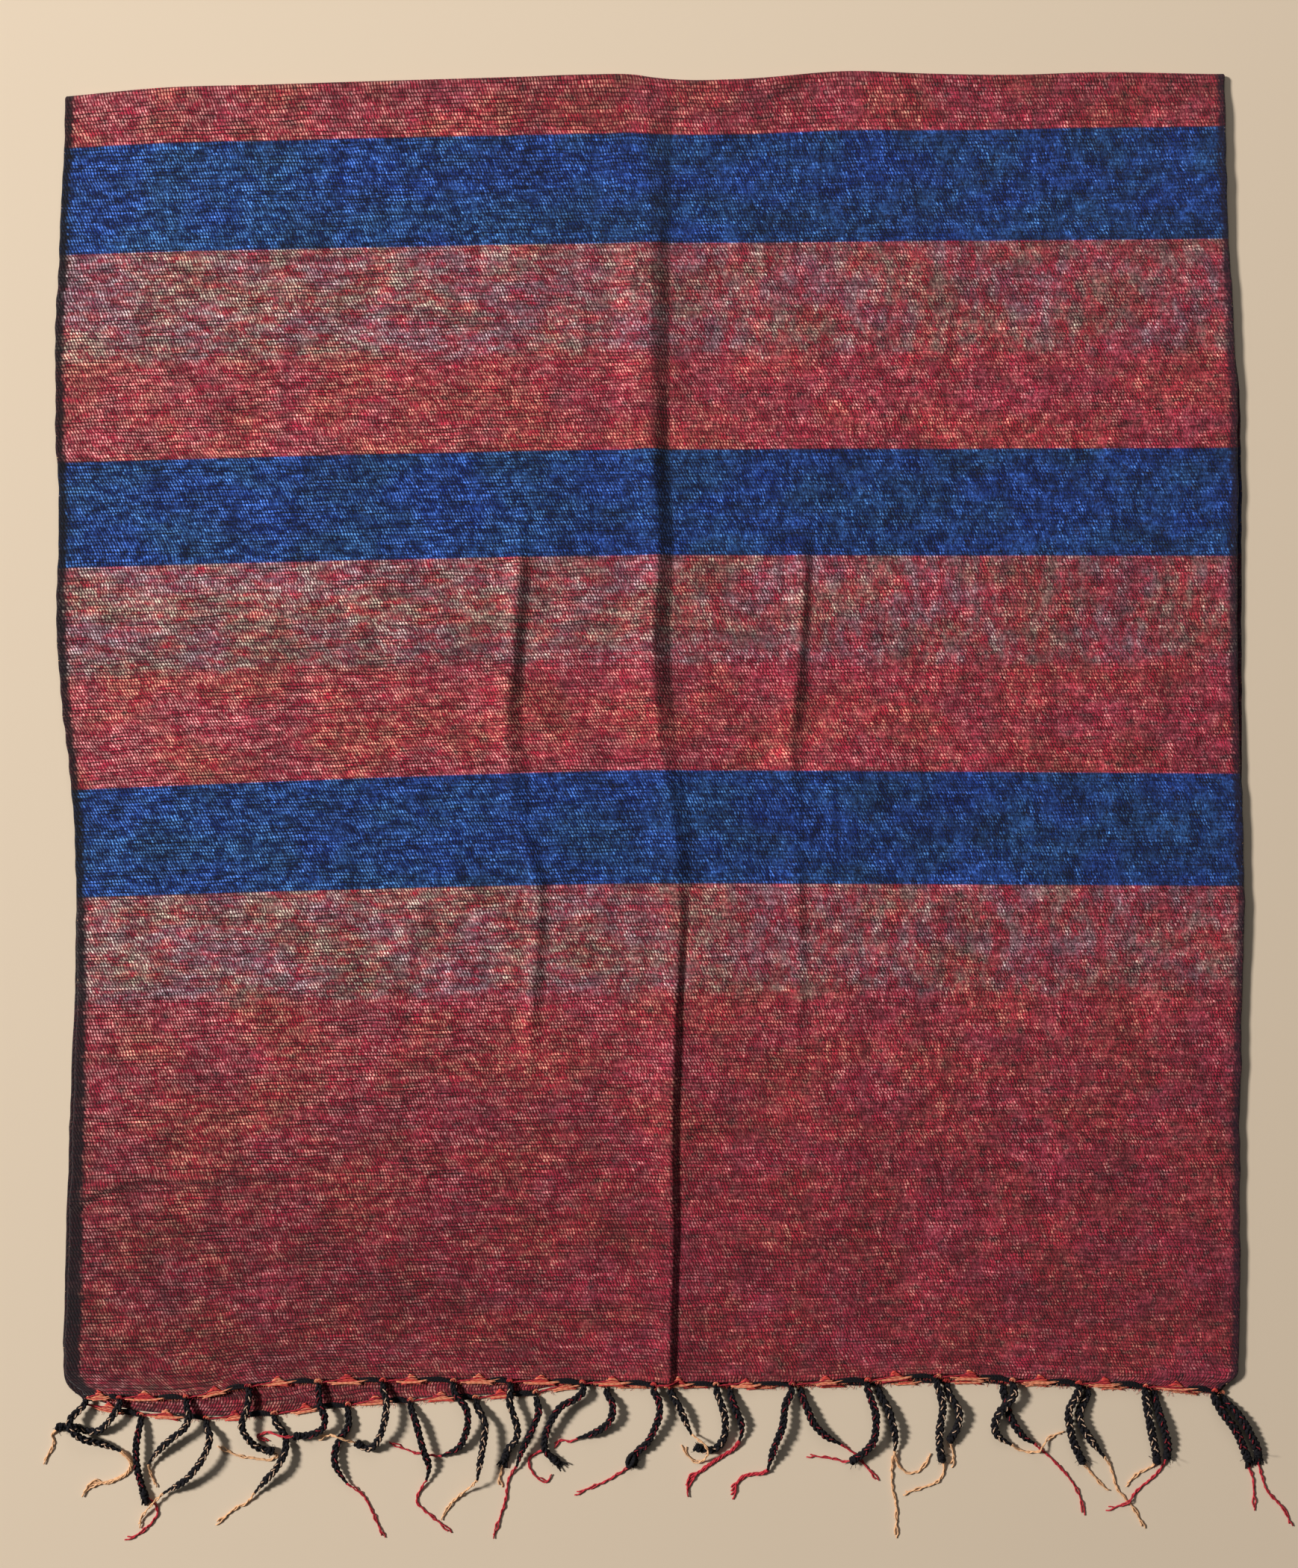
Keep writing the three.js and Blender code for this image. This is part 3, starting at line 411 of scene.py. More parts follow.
class Maker:
    """Collects the faces of one object."""

    def __init__(self):
        self.points, self.count = [], 0
        self.faces, self.uvs, self.materials = ({4: [], 3: []} for _ in range(3))

    def add(self, points, faces, uvs, material):
        """faces and uvs are dicts from the number of corners to an array."""
        self.points.append(points)
        for corners, rows in faces.items():
            self.faces[corners].append(rows + self.count)
            self.uvs[corners].append(uvs[corners])
            self.materials[corners].append(np.full(len(rows), material, np.int32))
        self.count += len(points)

    def tube(self, line, radius, material, sides=8, lobes=0, depth=0.0, turn=1.0):
        """A closed cord round a line. lobes gives it that many twisted plies, one turn in that length."""
        along, side, lift = turning_frame(line)
        run = distances(line)
        n = len(line)
        radius = np.broadcast_to(np.asarray(radius, float), (n,))
        angle = 2 * math.pi * np.arange(sides) / sides
        ply = 1 + depth * np.cos(lobes * (angle[None] - 2 * math.pi * run[:, None] / turn))
        reach = (radius[:, None] * ply)[..., None]
        ring = line[:, None] + reach * (
            np.cos(angle)[None, :, None] * side[:, None] + np.sin(angle)[None, :, None] * lift[:, None]
        )
        poles = np.array([line[0] - along[0] * radius[0] * 0.6, line[-1] + along[-1] * radius[-1] * 0.6])
        i, j = np.meshgrid(np.arange(n - 1), np.arange(sides), indexing="ij")
        i, j = i.ravel(), j.ravel()
        k = (j + 1) % sides
        quads = np.stack([i * sides + j, (i + 1) * sides + j, (i + 1) * sides + k, i * sides + k], axis=1)
        a, b = j / sides, (j + 1) / sides
        quad_uv = np.stack([a, run[i], a, run[i + 1], b, run[i + 1], b, run[i]], axis=1).reshape(-1, 4, 2)
        ends, last = np.arange(sides), (n - 1) * sides
        after = (ends + 1) % sides
        first_pole, last_pole = np.full(sides, n * sides), np.full(sides, n * sides + 1)
        tris = np.concatenate([
            np.stack([first_pole, ends, after], axis=1),
            np.stack([last_pole, last + after, last + ends], axis=1),
        ])
        tri_uv = np.zeros((2 * sides, 3, 2))
        tri_uv[sides:, :, 1] = run[-1]
        points = np.concatenate([ring.reshape(-1, 3), poles])
        self.add(points, {4: quads, 3: tris}, {4: quad_uv, 3: tri_uv}, material)

    def make(self, name, materials, uv_name):
        mesh = bpy.data.meshes.new(name)
        points = np.concatenate(self.points)
        loops, uvs, starts, chosen, done = [], [], [], [], 0
        for corners in (4, 3):
            if not self.faces[corners]:
                continue
            rows = np.concatenate(self.faces[corners])
            loops.append(rows.ravel())
            uvs.append(np.concatenate(self.uvs[corners]).reshape(-1, 2))
            starts.append(done + np.arange(len(rows)) * corners)
            chosen.append(np.concatenate(self.materials[corners]))
            done += rows.size
        mesh.vertices.add(len(points))
        mesh.vertices.foreach_set("co", points.astype(np.float32).ravel())
        mesh.loops.add(done)
        mesh.loops.foreach_set("vertex_index", np.concatenate(loops).astype(np.int32))
        mesh.polygons.add(sum(len(s) for s in starts))
        mesh.polygons.foreach_set("loop_start", np.concatenate(starts).astype(np.int32))
        mesh.polygons.foreach_set("material_index", np.concatenate(chosen))
        layer = mesh.uv_layers.new(name=uv_name)
        layer.data.foreach_set("uv", np.concatenate(uvs).astype(np.float32).ravel())
        mesh.update(calc_edges=True)
        mesh.shade_smooth()
        for material in materials:
            mesh.materials.append(material)
        piece = bpy.data.objects.new(name, mesh)
        bpy.context.scene.collection.objects.link(piece)
        return piece


def distances(line):
    return np.concatenate([[0.0], np.cumsum(np.linalg.norm(np.diff(line, axis=0), axis=1))])


def unit(vectors):
    return vectors / np.linalg.norm(vectors, axis=-1, keepdims=True)


def turning_frame(line):
    """Unit vectors along a line, and two across it that twist as little as they can."""
    along = unit(np.gradient(line, axis=0))
    side = np.cross(along[0], (0.0, 0.0, 1.0))
    if np.linalg.norm(side) < 0.2:
        side = np.cross(along[0], (1.0, 0.0, 0.0))
    sides = [unit(side)]
    for now in along[1:]:
        side = sides[-1] - now * (sides[-1] @ now)
        sides.append(side / math.sqrt(side @ side))
    sides = np.array(sides)
    return along, sides, np.cross(sides, along)


def level_frame(line):
    """Unit vectors along a line that lies on something, level across it, and up from it."""
    along = unit(np.gradient(line, axis=0))
    side = unit(np.cross(along, (0.0, 0.0, 1.0)))
    return along, side, np.cross(side, along)


def smooth_line(points, step):
    """Evenly spaced points, about step apart, on a smooth curve through the given ones."""
    p = np.array(points, float)
    p = np.vstack([2 * p[0] - p[1], p, 2 * p[-1] - p[-2]])
    t = np.linspace(0, 1, 12, endpoint=False)[:, None]
    runs = []
    for a, b, c, d in zip(p[:-3], p[1:-2], p[2:-1], p[3:]):
        square, cube = 2 * a - 5 * b + 4 * c - d, 3 * b - a - 3 * c + d
        runs.append(b + 0.5 * ((c - a) * t + square * t**2 + cube * t**3))
    dense = np.vstack([*runs, p[-2:-1]])
    run = distances(dense)
    at = np.linspace(0, run[-1], max(3, round(run[-1] / step) + 1))
    return np.stack([np.interp(at, run, dense[:, k]) for k in range(3)], axis=1)


# ---------------------------------------------------------------- the cloth's shape

class Layer:
    """One half of the folded cloth: where its selvedges and its hem lie, from its CAD solid."""

    SELVEDGE_X = 0.3955  # corners of the outline beyond this are on a selvedge
    END_X, END_Y = 0.4005, -0.445  # and those within these on the cut end

    def __init__(self, cloth_node, hem_node):
        corners = np.array([v.co[:2] for v in frame["nodes"][cloth_node].data.vertices])
        corners = np.unique(np.round(corners, 5), axis=0)
        left = corners[corners[:, 0] < -self.SELVEDGE_X]
        right = corners[corners[:, 0] > self.SELVEDGE_X]
        end = corners[(np.abs(corners[:, 0]) < self.END_X) & (corners[:, 1] < self.END_Y)]
        self.left, self.right = (np.array(sorted(side, key=lambda p: p[1])) for side in (left, right))
        self.end = np.array(sorted(end, key=lambda p: p[0]))
        self.hem_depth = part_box(cloth_node)[0].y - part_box(hem_node)[0].y

    def left_x(self, y):
        return through(y, self.left[:, 1], self.left[:, 0]) + edge_wave(y, 3)

    def right_x(self, y):
        return through(y, self.right[:, 1], self.right[:, 0]) + edge_wave(y, 8)

    def hem_y(self, x):
        """The outer edge of the gathered warp ends."""
        return through(x, self.end[:, 0], self.end[:, 1]) - self.hem_depth


def edge_wave(y, seed):
    return 0.0005 * swell(y, 0 * y, 0.014, seed) + 0.0004 * swell(y, 0 * y, 0.045, seed + 1)


def crease_height(table, x, y):
    """A pinched ridge that climbs slowly on its left and drops on its right."""
    y_rows, crest, left, right, height = (np.array(c) for c in zip(*sorted(table)))
    offset = x - through(y, y_rows, crest)
    left_width, right_width = np.interp(y, y_rows, left), np.interp(y, y_rows, right)
    rise = np.clip(1 - np.where(offset < 0, -offset / left_width, offset / right_width), 0, 1)
    return np.interp(y, y_rows, height) * np.where(offset < 0, rise**1.6, 0.6 * rise + 0.4 * ease(rise))


def crease_shade_share(table, x, y):
    """How much painted shade a crease puts on its right flank, which turns away from the light, from 0 to 1.
    """
    y_rows, crest, _, right, height = (np.array(c) for c in zip(*sorted(table)))
    offset = x - through(y, y_rows, crest)
    width = np.interp(y, y_rows, right)
    near, far = ease(offset / 0.003), ease((width + 0.003 - offset) / 0.004)
    towards_fold = 0.25 + 0.75 * ease((y + 0.03) / 0.07)
    return near * far * ease(np.interp(y, y_rows, height) / FULL_SHADE_HEIGHT) * towards_fold


def slant_height(x, y):
    columns, crest, height = (np.array(c) for c in zip(*SLANT_CREASE))
    offset = y - through(x, columns, crest)
    shape = ease(1 - np.where(offset < 0, -offset / 0.006, offset / 0.014))
    return np.interp(x, columns, height) * shape


def slant_shade_share(x, y):
    # how much painted shade the slant crease puts on its side towards the hem, from 0 to 1
    columns, crest, height = (np.array(c) for c in zip(*SLANT_CREASE))
    offset = through(x, columns, crest) - y
    near, far = ease(offset / 0.0015), ease((0.009 - offset) / 0.005)
    return near * far * ease(np.interp(x, columns, height) / FULL_SHADE_HEIGHT)


def wrinkle_height(x, y, x_start, y_start, x_end, y_end, reach, height):
    run, rise = x_end - x_start, y_end - y_start
    length = math.hypot(run, rise)
    along = ((x - x_start) * run + (y - y_start) * rise) / length**2
    aside = ((x - x_start) * rise - (y - y_start) * run) / length
    return height * ease(1 - np.abs(aside) / reach) * ease(np.minimum(along, 1 - along) / 0.3)


def upper_lift(x, y):
    """How far the upper layer stands above where it would lie if it were flat."""
    from_fold = HINGE[1] - y
    flatter_at_hem = 0.5 + 0.5 * ease((y + 0.455) / 0.08)
    lift = 0.0009 * (1 + swell(x, 0.45 * y, 0.11, 21)) + 0.00042 * (1 + swell(x, 0.5 * y, 0.042, 22))
    lift = lift * flatter_at_hem + 0.0007 * ease((x - 0.33) / 0.08)
    creases = [crease_height(table, x, y) for table in (CENTRE_CREASE, LEFT_CREASE, RIGHT_CREASE)]
    lift = lift + sum(creases) + slant_height(x, y) + sum(wrinkle_height(x, y, *row) for row in WRINKLES)
    # where the throw is opened out flat, no crease may reach down to the floor
    lift = np.minimum(lift, 0.0016 + OPEN_SLOPE * np.maximum(from_fold, 0))
    return lift * ease((from_fold + 0.004) / 0.030)


def upper_z(x, y):
    return UPPER_Z + upper_lift(x, y)


def lower_z(x, y):
    return LOWER_Z + 0 * x


def steps(start, end, pitch_at):
    places = [start]
    while places[-1] < end:
        places.append(places[-1] + pitch_at(places[-1]))
    places = np.array(places)
    return start + (places - start) * (end - start) / (places[-1] - start)


def column_pitch(x):
    half = FLAT_WIDTH / 2
    if abs(x) > half - 0.012:
        return 0.0015
    if x > 0.325:
        return 0.0025
    if -0.016 < x < 0.030:
        return 0.00125
    if -0.112 < x < -0.072 or 0.085 < x < 0.122:
        return 0.002
    return 0.004


def middle_surface(upper, lower):
    """The middle of the cloth's thickness, row by row from the upper hem round the fold to the lower hem,
    with each point's place in the flat cloth."""
    half = FLAT_WIDTH / 2
    share = (steps(-half, half, column_pitch) + half) / FLAT_WIDTH
    across = share * 2 - 1
    guess_x = LAID_HALF_WIDTH * across
    course, middle, left_dy, right_dy = (np.array(c) for c in zip(*ROW_COURSE))
    edge_x, edge_y = zip(*FOLD_EDGE)
    fold_y = through(guess_x, edge_x, edge_y) - FOLD_RADIUS - CLOTH_THICKNESS / 2
    bow = np.abs(across) ** ROW_BOW

    def row_y(v):
        side_dy = np.where(across < 0, np.interp(v, course, left_dy), np.interp(v, course, right_dy))
        return through(np.full(1, v), course, middle) + side_dy * bow

    first, last = FOLD_ARC / 2, course[-1]
    hem_y = upper.hem_y(guess_x) + HEM_COVER
    fold_fault, hem_fault = fold_y - row_y(first), hem_y - row_y(last)
    rows, places = [], []
    upper_rows = steps(first, last, lambda v: FINE_ROW if v > last - 0.02 or v < 0.012 else UPPER_ROW)
    for v in upper_rows[::-1]:
        near_fold, near_hem = math.exp((first - v) / EDGE_REACH), math.exp((v - last) / EDGE_REACH)
        y = row_y(v) + fold_fault * near_fold + hem_fault * near_hem
        x = upper.left_x(y) * (1 - share) + upper.right_x(y) * share
        rows.append(np.stack([x, y, upper_z(x, y)], axis=1))
        places.append(np.stack([share * FLAT_WIDTH, np.full(len(share), -v)], axis=1))
    top_row, fold_x = rows[-1], rows[-1][:, 0]
    for turn in sorted(FOLD_TURNS, reverse=True)[1:-1]:
        angle = math.radians(turn)
        y = top_row[:, 1] + FOLD_RADIUS * math.cos(angle)
        z = HINGE_Z + FOLD_RADIUS * math.sin(angle)
        rows.append(np.stack([fold_x, y, np.full(len(y), z)], axis=1))
        places.append(np.stack([share * FLAT_WIDTH, np.full(len(share), -FOLD_RADIUS * angle)], axis=1))
    lower_hem_y = lower.hem_y(guess_x) + HEM_COVER
    end = FLAT_LENGTH - last
    for w in steps(first, end, lambda v: FINE_ROW if v > end - 0.016 or v < 0.012 else LOWER_ROW):
        down = (w - first) / (end - first)
        y = top_row[:, 1] * (1 - down) + lower_hem_y * down
        blend_in = ease(down / 0.05)
        x = lower.left_x(y) * (1 - share) + lower.right_x(y) * share
        x = fold_x * (1 - blend_in) + x * blend_in
        rows.append(np.stack([x, y, lower_z(x, y)], axis=1))
        places.append(np.stack([share * FLAT_WIDTH, np.full(len(share), w)], axis=1))
    return np.array(rows), np.array(places)


def make_cloth(upper, lower, material):
    """One closed skin: the outer face, the inner face and a rounded edge all the way round."""
    middle, places = middle_surface(upper, lower)
    rows, columns = middle.shape[:2]
    across, down = np.gradient(middle, axis=1), np.gradient(middle, axis=0)
    normal = unit(np.cross(across, down))
    outer = (middle + normal * CLOTH_THICKNESS / 2).reshape(-1, 3)
    inner = (middle - normal * CLOTH_THICKNESS / 2).reshape(-1, 3)
    ring = [(r, 0) for r in range(rows)] + [(rows - 1, c) for c in range(1, columns)]
    ring += [(r, columns - 1) for r in range(rows - 2, -1, -1)] + [(0, c) for c in range(columns - 2, 0, -1)]
    ring_r, ring_c = np.array(ring).T
    outward = np.zeros((len(ring), 3))
    for flag, vector in (
        (ring_c == 0, -across), (ring_c == columns - 1, across),
        (ring_r == 0, -down), (ring_r == rows - 1, down),
    ):
        outward[flag] += unit(vector[ring_r[flag], ring_c[flag]])
    rim = middle[ring_r, ring_c] + unit(outward) * CLOTH_THICKNESS / 2
    size = rows * columns
    r, c = (k.ravel() for k in np.meshgrid(np.arange(rows - 1), np.arange(columns - 1), indexing="ij"))
    a, b, d, e = r * columns + c, r * columns + c + 1, (r + 1) * columns + c + 1, (r + 1) * columns + c
    here = ring_r * columns + ring_c
    after, mid = np.roll(here, -1), 2 * size + np.arange(len(ring))
    mid_after = np.roll(mid, -1)
    quads = np.concatenate([
        np.stack([a, b, d, e], axis=1),
        np.stack([a, e, d, b], axis=1) + size,
        np.stack([here, after, mid_after, mid], axis=1),
        np.stack([mid, mid_after, after + size, here + size], axis=1),
    ])
    flat = places.reshape(-1, 2)
    point_uv = np.concatenate([flat, flat, flat[here]])
    maker = Maker()
    maker.add(np.concatenate([outer, inner, rim]), {4: quads}, {4: point_uv[quads]}, 0)
    piece = maker.make("throw_cloth", [material], "cloth")
    x, y = middle[..., 0], middle[..., 1]
    # painted shade: how much the cloth's colour is darkened on the creases' right flanks, on the upper half,
    # for each point
    flank = slant_shade_share(x, y) * 0.6
    for table, share in ((CENTRE_CREASE, 0.75), (LEFT_CREASE, 0.6), (RIGHT_CREASE, 0.6)):
        flank = np.maximum(flank, crease_shade_share(table, x, y) * share)
    flank = (flank * (places[..., 1] < 0)).ravel()
    values = piece.data.attributes.new("flank", "FLOAT", "POINT")
    values.data.foreach_set("value", np.concatenate([flank, flank, flank[here]]).astype(np.float32))
    return piece


# ---------------------------------------------------------------- materials

def colour(code):
    """A linear colour from the usual six-figure code."""
    parts = [int(code[k:k + 2], 16) / 255 for k in (0, 2, 4)]
    return (*(p / 12.92 if p <= 0.04045 else ((p + 0.055) / 1.055) ** 2.4 for p in parts), 1.0)


class Number:
    """A number that a material works out at each point. Sums and products of it add nodes."""

    def __init__(self, shade, socket):
        self.shade, self.socket = shade, socket

    def __add__(self, other):
        return self.shade.maths("ADD", self, other)

    def __sub__(self, other):
        return self.shade.maths("SUBTRACT", self, other)

    def __rsub__(self, other):
        return self.shade.maths("SUBTRACT", other, self)

    def __mul__(self, other):
        return self.shade.maths("MULTIPLY", self, other)

    def __truediv__(self, other):
        return self.shade.maths("DIVIDE", self, other)

    __radd__, __rmul__ = __add__, __mul__


class Shade:
    """One material, and short ways to add nodes to it."""

    def __init__(self, name, roughness, sheen):
        self.material = bpy.data.materials.new(name)
        self.material.use_nodes = True
        self.nodes, self.links = self.material.node_tree.nodes, self.material.node_tree.links
        self.shader = self.nodes["Principled BSDF"]
        self.shader.inputs["Roughness"].default_value = roughness
        self.shader.inputs["Specular IOR Level"].default_value = WOOL_SPECULAR
        self.shader.inputs["Sheen Weight"].default_value = sheen
        self.shader.inputs["Sheen Roughness"].default_value = SHEEN_ROUGHNESS

    def put(self, socket, value):
        if isinstance(value, Number):
            value = value.socket
        if isinstance(value, bpy.types.NodeSocket):
            self.links.new(value, socket)
        else:
            socket.default_value = value

    def fill(self, node, values):
        for socket, value in zip(node.inputs, values):
            self.put(socket, value)
        return Number(self, node.outputs[0])

    def maths(self, operation, *values):
        node = self.nodes.new("ShaderNodeMath")
        node.operation = operation
        return self.fill(node, values)

    def range(self, value, low, high, to_low=0.0, to_high=1.0):
        """to_low where the value is low, to_high where it is high, and a smooth change between."""
        node = self.nodes.new("ShaderNodeMapRange")
        node.interpolation_type = "SMOOTHSTEP"
        return self.fill(node, (value, low, high, to_low, to_high))

    def join(self, x, y, z=0.0):
        return self.fill(self.nodes.new("ShaderNodeCombineXYZ"), (x, y, z))

    def mix(self, share, a, b, blend="MIX"):
        node = self.nodes.new("ShaderNodeMix")
        node.data_type, node.blend_type = "RGBA", blend
        self.put(node.inputs["Factor"], share)
        self.put(node.inputs[6], a)
        self.put(node.inputs[7], b)
        return node.outputs[2]

    def noise(self, vector, scale=1.0, detail=2.0, rough=0.5):
        node = self.nodes.new("ShaderNodeTexNoise")
        self.put(node.inputs["Vector"], vector)
        node.inputs["Scale"].default_value = scale
        node.inputs["Detail"].default_value = detail
        node.inputs["Roughness"].default_value = rough
        return Number(self, node.outputs[0])

    def chance(self, *place):
        """A random number for each set of whole numbers."""
        node = self.nodes.new("ShaderNodeTexWhiteNoise")
        self.put(node.inputs["Vector"], self.join(*place))
        return Number(self, node.outputs["Value"])

    def split_uv(self, name):
        uv = self.nodes.new("ShaderNodeUVMap")
        uv.uv_map = name
        split = self.nodes.new("ShaderNodeSeparateXYZ")
        self.links.new(uv.outputs[0], split.inputs[0])
        return Number(self, split.outputs[0]), Number(self, split.outputs[1])

    def number(self, name):
        """A number that the mesh gives for each of its points."""
        node = self.nodes.new("ShaderNodeAttribute")
        node.attribute_name = name
        return Number(self, node.outputs["Fac"])

    def finish(self, base, height, distance):
        """The base colour, and a relief that is so deep."""
        node = self.nodes.new("ShaderNodeBump")
        node.inputs["Strength"].default_value = RELIEF_STRENGTH
        node.inputs["Distance"].default_value = distance
        self.put(node.inputs["Height"], height)
        self.links.new(node.outputs[0], self.shader.inputs["Normal"])
        self.put(self.shader.inputs["Base Color"], base)
        return self.material


class Twill(Shade):
    """Slanting ribs of weft, each dash its own brightness, in bands of red, blue and a grey melange."""

    def __init__(self):
        super().__init__("twill", 0.95, 0.15)
        self.u, self.w = self.split_uv("cloth")
        self.place = self.join(self.u, self.w)
        self.from_fold = self.maths("ABSOLUTE", self.w)
        self.felted = self.range(self.u, 0.25, 0.60)
        self.weave()
        self.bands()

    def grain(self, along, up, detail=2.0, rough=0.5):
        """Random patches, about 1/along by 1/up metres large."""
        return self.noise(self.join(self.u * along, self.w * up), 1.0, detail, rough)

    def patches(self, lying, upright, rough):
        """Random patches that lie along the rows at the left and stand upright at the right."""
        left, right = self.grain(*lying, 3.0, rough), self.grain(*upright, 3.0, rough)
        return (1.0 - self.felted) * left + self.felted * right

    def weave(self):
        """How the yarns run: rows across the cloth, and ribs that slant from one row to the next."""
        u, w = self.u, self.w
        # the yarns wander a little at the left and a lot at the right, where the cloth is more felted
        loose = self.range(u, 0.10, 0.75, 0.45, 1.15)
        stray = (self.noise(self.place, 330.0, 1.0) - 0.5) * loose
        stray_down = (self.noise(self.join(w, u), 360.0, 1.0) - 0.5) * loose
        rows = w / WEFT_PITCH + self.noise(self.place, 28.0) * 1.4 + stray_down * 0.55
        self.row = self.maths("FLOOR", rows)
        sway = self.noise(self.place, 45.0) * 1.2 + self.chance(self.row, 3.0) * 0.34
        ribs = u / WARP_PITCH + (rows * RIB_SHIFT + sway) + stray
        across = self.maths("SINE", self.maths("FRACT", ribs) * math.pi)
        self.down = self.maths("SINE", self.maths("FRACT", rows) * math.pi)
        self.cell = self.chance(self.maths("FLOOR", ribs), self.row)
        # to the left the dashes join into ribs, to the right they stand apart
        gap_light = self.range(u, 0.10, 0.75, 0.62, 0.38)
        fibres = self.noise(self.join(u * 1500.0, (w + u * 2.0) * 420.0))
        self.dash = across * (gap_light + self.down * (1.0 - gap_light)) + (fibres - 0.5) * 0.9

    def inside(self, distance, bands, soft):
        """1 inside the bands, with edges that soft on both sides."""
        total = 0.0
        for start, end in bands:
            rise = self.range(distance, start - soft, start + soft)
            total = total + rise * self.range(distance, end - soft, end + soft, 1.0, 0.0)
        return total

    def bands(self):
        """Blue bands with sharp edges, and grey ones that fade into the red."""
        self.blue = self.inside(self.from_fold, BLUE_BANDS, BLUE_EDGE)
        drift = (self.grain(40.0, 90.0) - 0.5) * MELANGE_DRIFT
        spans = [(start - MELANGE_OVERLAP, end) for start, end in MELANGE_BANDS]
        streaks = self.patches((60.0, 150.0), (95.0, 52.0), 0.6) + self.cell * 0.07 + self.u * -0.10
        grey = self.inside(self.from_fold + drift, spans, MELANGE_EDGE)
        self.melange = grey * self.range(streaks, 0.33, 0.62)

    def banded(self, part):
        """The colour of a part of the weave, in whichever band it is."""
        red, grey, blue = (colour(code) for code in WEAVE_COLOURS[part])
        return self.mix(self.blue, self.mix(self.melange, red, grey), blue)

    def yarns(self):
        """The ribs and the gaps between them, each pale for a while and then deep. The gaps are painted
        shade between the yarns, and the crests of the pale ribs a painted highlight.
        """
        tone = self.patches((95.0, 170.0), (160.0, 95.0), 0.65) + (self.cell - 0.5) * 0.16
        tone = tone + self.u * -0.11 + self.range(self.from_fold, 0.62, 0.85, 0.0, -0.05)
        pale = self.range(tone, 0.34, 0.70)
        rib = self.mix(pale, self.banded("deep rib"), self.banded("pale rib"))
        gap = self.mix(pale, self.banded("deep gap"), self.banded("pale gap"))
        # painted shade: each rib's colour deepens towards the gaps beside it
        body = self.mix(self.range(self.dash, 0.10, 0.66), gap, rib)
        # painted highlight on the crests of the ribs in the paler patches
        return self.mix(pale * self.range(self.dash, 0.50, 1.0), body, self.banded("crest"))

    def felt(self, body):
        """Nap that hides the ribs in patches, and spots where the dark warp shows. More to the right."""
        patches = self.noise(self.join(self.u * 1.3, self.w), 60.0, 3.0, 0.65)
        self.nap = self.range(patches + self.u * 0.16, 0.50, 0.78, 0.0, 0.7)
        self.hairs = self.grain(800.0, 330.0, 3.0, 0.7)
        hair = self.mix(self.range(self.hairs, 0.34, 0.66), self.banded("dark nap"), self.banded("pale nap"))
        body = self.mix(self.nap, body, hair)
        spots = self.noise(self.join(self.u, self.w * 1.3), 135.0, 2.0, 0.6)
        spots = self.range(spots + self.u * 0.06, 0.60, 0.72, 0.0, 0.62)
        warp = self.mix(self.range(self.dash, 0.45, 0.95), colour(WARP_COLOUR), self.banded("worn"))
        return self.mix(spots, body, warp)

    def row_light(self):
        """Rows that came out darker for part of the width, and the dark lines between the rows, painted
        shade in the grooves there, which come and go and are clearest at the left."""
        streak = self.noise(self.join(self.u * 38.0, self.row * 4.7), 1.0, 2.0, 0.6)
        # painted shade in the grooves between the rows
        line = self.noise(self.join(self.u * 24.0, self.row * 5.3, 2.0), 1.0, 2.0, 0.6)
        line = self.range(line, 0.40, 0.58, 0.10, 1.0) * self.range(self.u, 0.15, 0.70, 0.94, 0.50)
        line = line * self.range(self.down, 0.10, 0.80, 1.0, 0.0)
        return self.range(streak, 0.38, 0.62, 1.32, 0.80) * (1.0 - line)

    def level(self):
        """How light the cloth is: its rows with painted shade between them, mottles and blotches, its drift
        to deeper at the hem, and painted shade on the creases' right flanks.
        """
        mottle = self.patches((170.0, 220.0), (190.0, 130.0), 0.65)
        far = self.range(self.from_fold, 0.60, 0.90) * self.range(self.u, 0.0, 0.6, 0.37, 0.13)
        level = self.row_light()
        for number, low, high, to_low, to_high in (
            (self.grain(75.0, 24.0), 0.32, 0.68, 0.86, 1.16),
            (mottle, 0.30, 0.70, 0.66, 1.34),
            (self.noise(self.place, 24.0), 0.30, 0.70, 0.84, 1.14),
            (self.cell, 0.0, 1.0, 0.92, 1.07),
        ):
            level = level * self.range(number, low, high, to_low, to_high)
        level = level * (1.0 - far)
        level = level * self.range(self.from_fold, 0.0, 0.05, 0.74, 1.0)
        level = level * self.range(self.blue, 0.0, 1.0, 0.93, 0.86)
        level = level * self.range(self.from_fold * (1.0 - self.blue), 0.60, 0.70, 1.0, 0.90)
        # painted shade: the cloth's colour is darkened on the right flanks of the creases, where they turn
        # away from the light
        return level * self.range(self.number("flank"), 0.0, 1.0, 1.0, 0.42)

    def tinted(self, body):
        """The same colours, a little cooler in some places and warmer in others."""
        hue = self.noise(self.join(self.u, self.w * 1.5, 4.0), 17.0, 2.0)
        tint = self.mix(self.range(hue, 0.36, 0.64), (0.98, 0.90, 1.06, 1.0), (1.06, 1.08, 0.88, 1.0))
        return self.mix(1.0, body, tint, "MULTIPLY")

    def selvedges(self, body):
        """The black warp ends along the selvedges, a broader band of them at the left."""
        jump = (self.cell - 0.5) * 0.0022
        left = self.u + jump + self.range(self.from_fold, 0.58, 0.88, 0.0, -0.0046)
        right = (FLAT_WIDTH - self.u) + (jump + 0.0008)
        for inward, (code, share) in zip((left, right), SELVEDGE_COLOURS):
            black = self.range(inward, SELVEDGE, SELVEDGE + SELVEDGE_FADE, share, 0.0)
            body = self.mix(black, body, colour(code))
        return body

    def make(self):
        body, level = self.felt(self.yarns()), self.level()
        body = self.mix(1.0, body, self.join(level, level, level), "MULTIPLY")
        height = self.dash * self.range(self.nap, 0.0, 0.7, 1.0, 0.45) + self.hairs * 0.5
        return self.finish(self.selvedges(self.tinted(body)), height, TWILL_RELIEF)


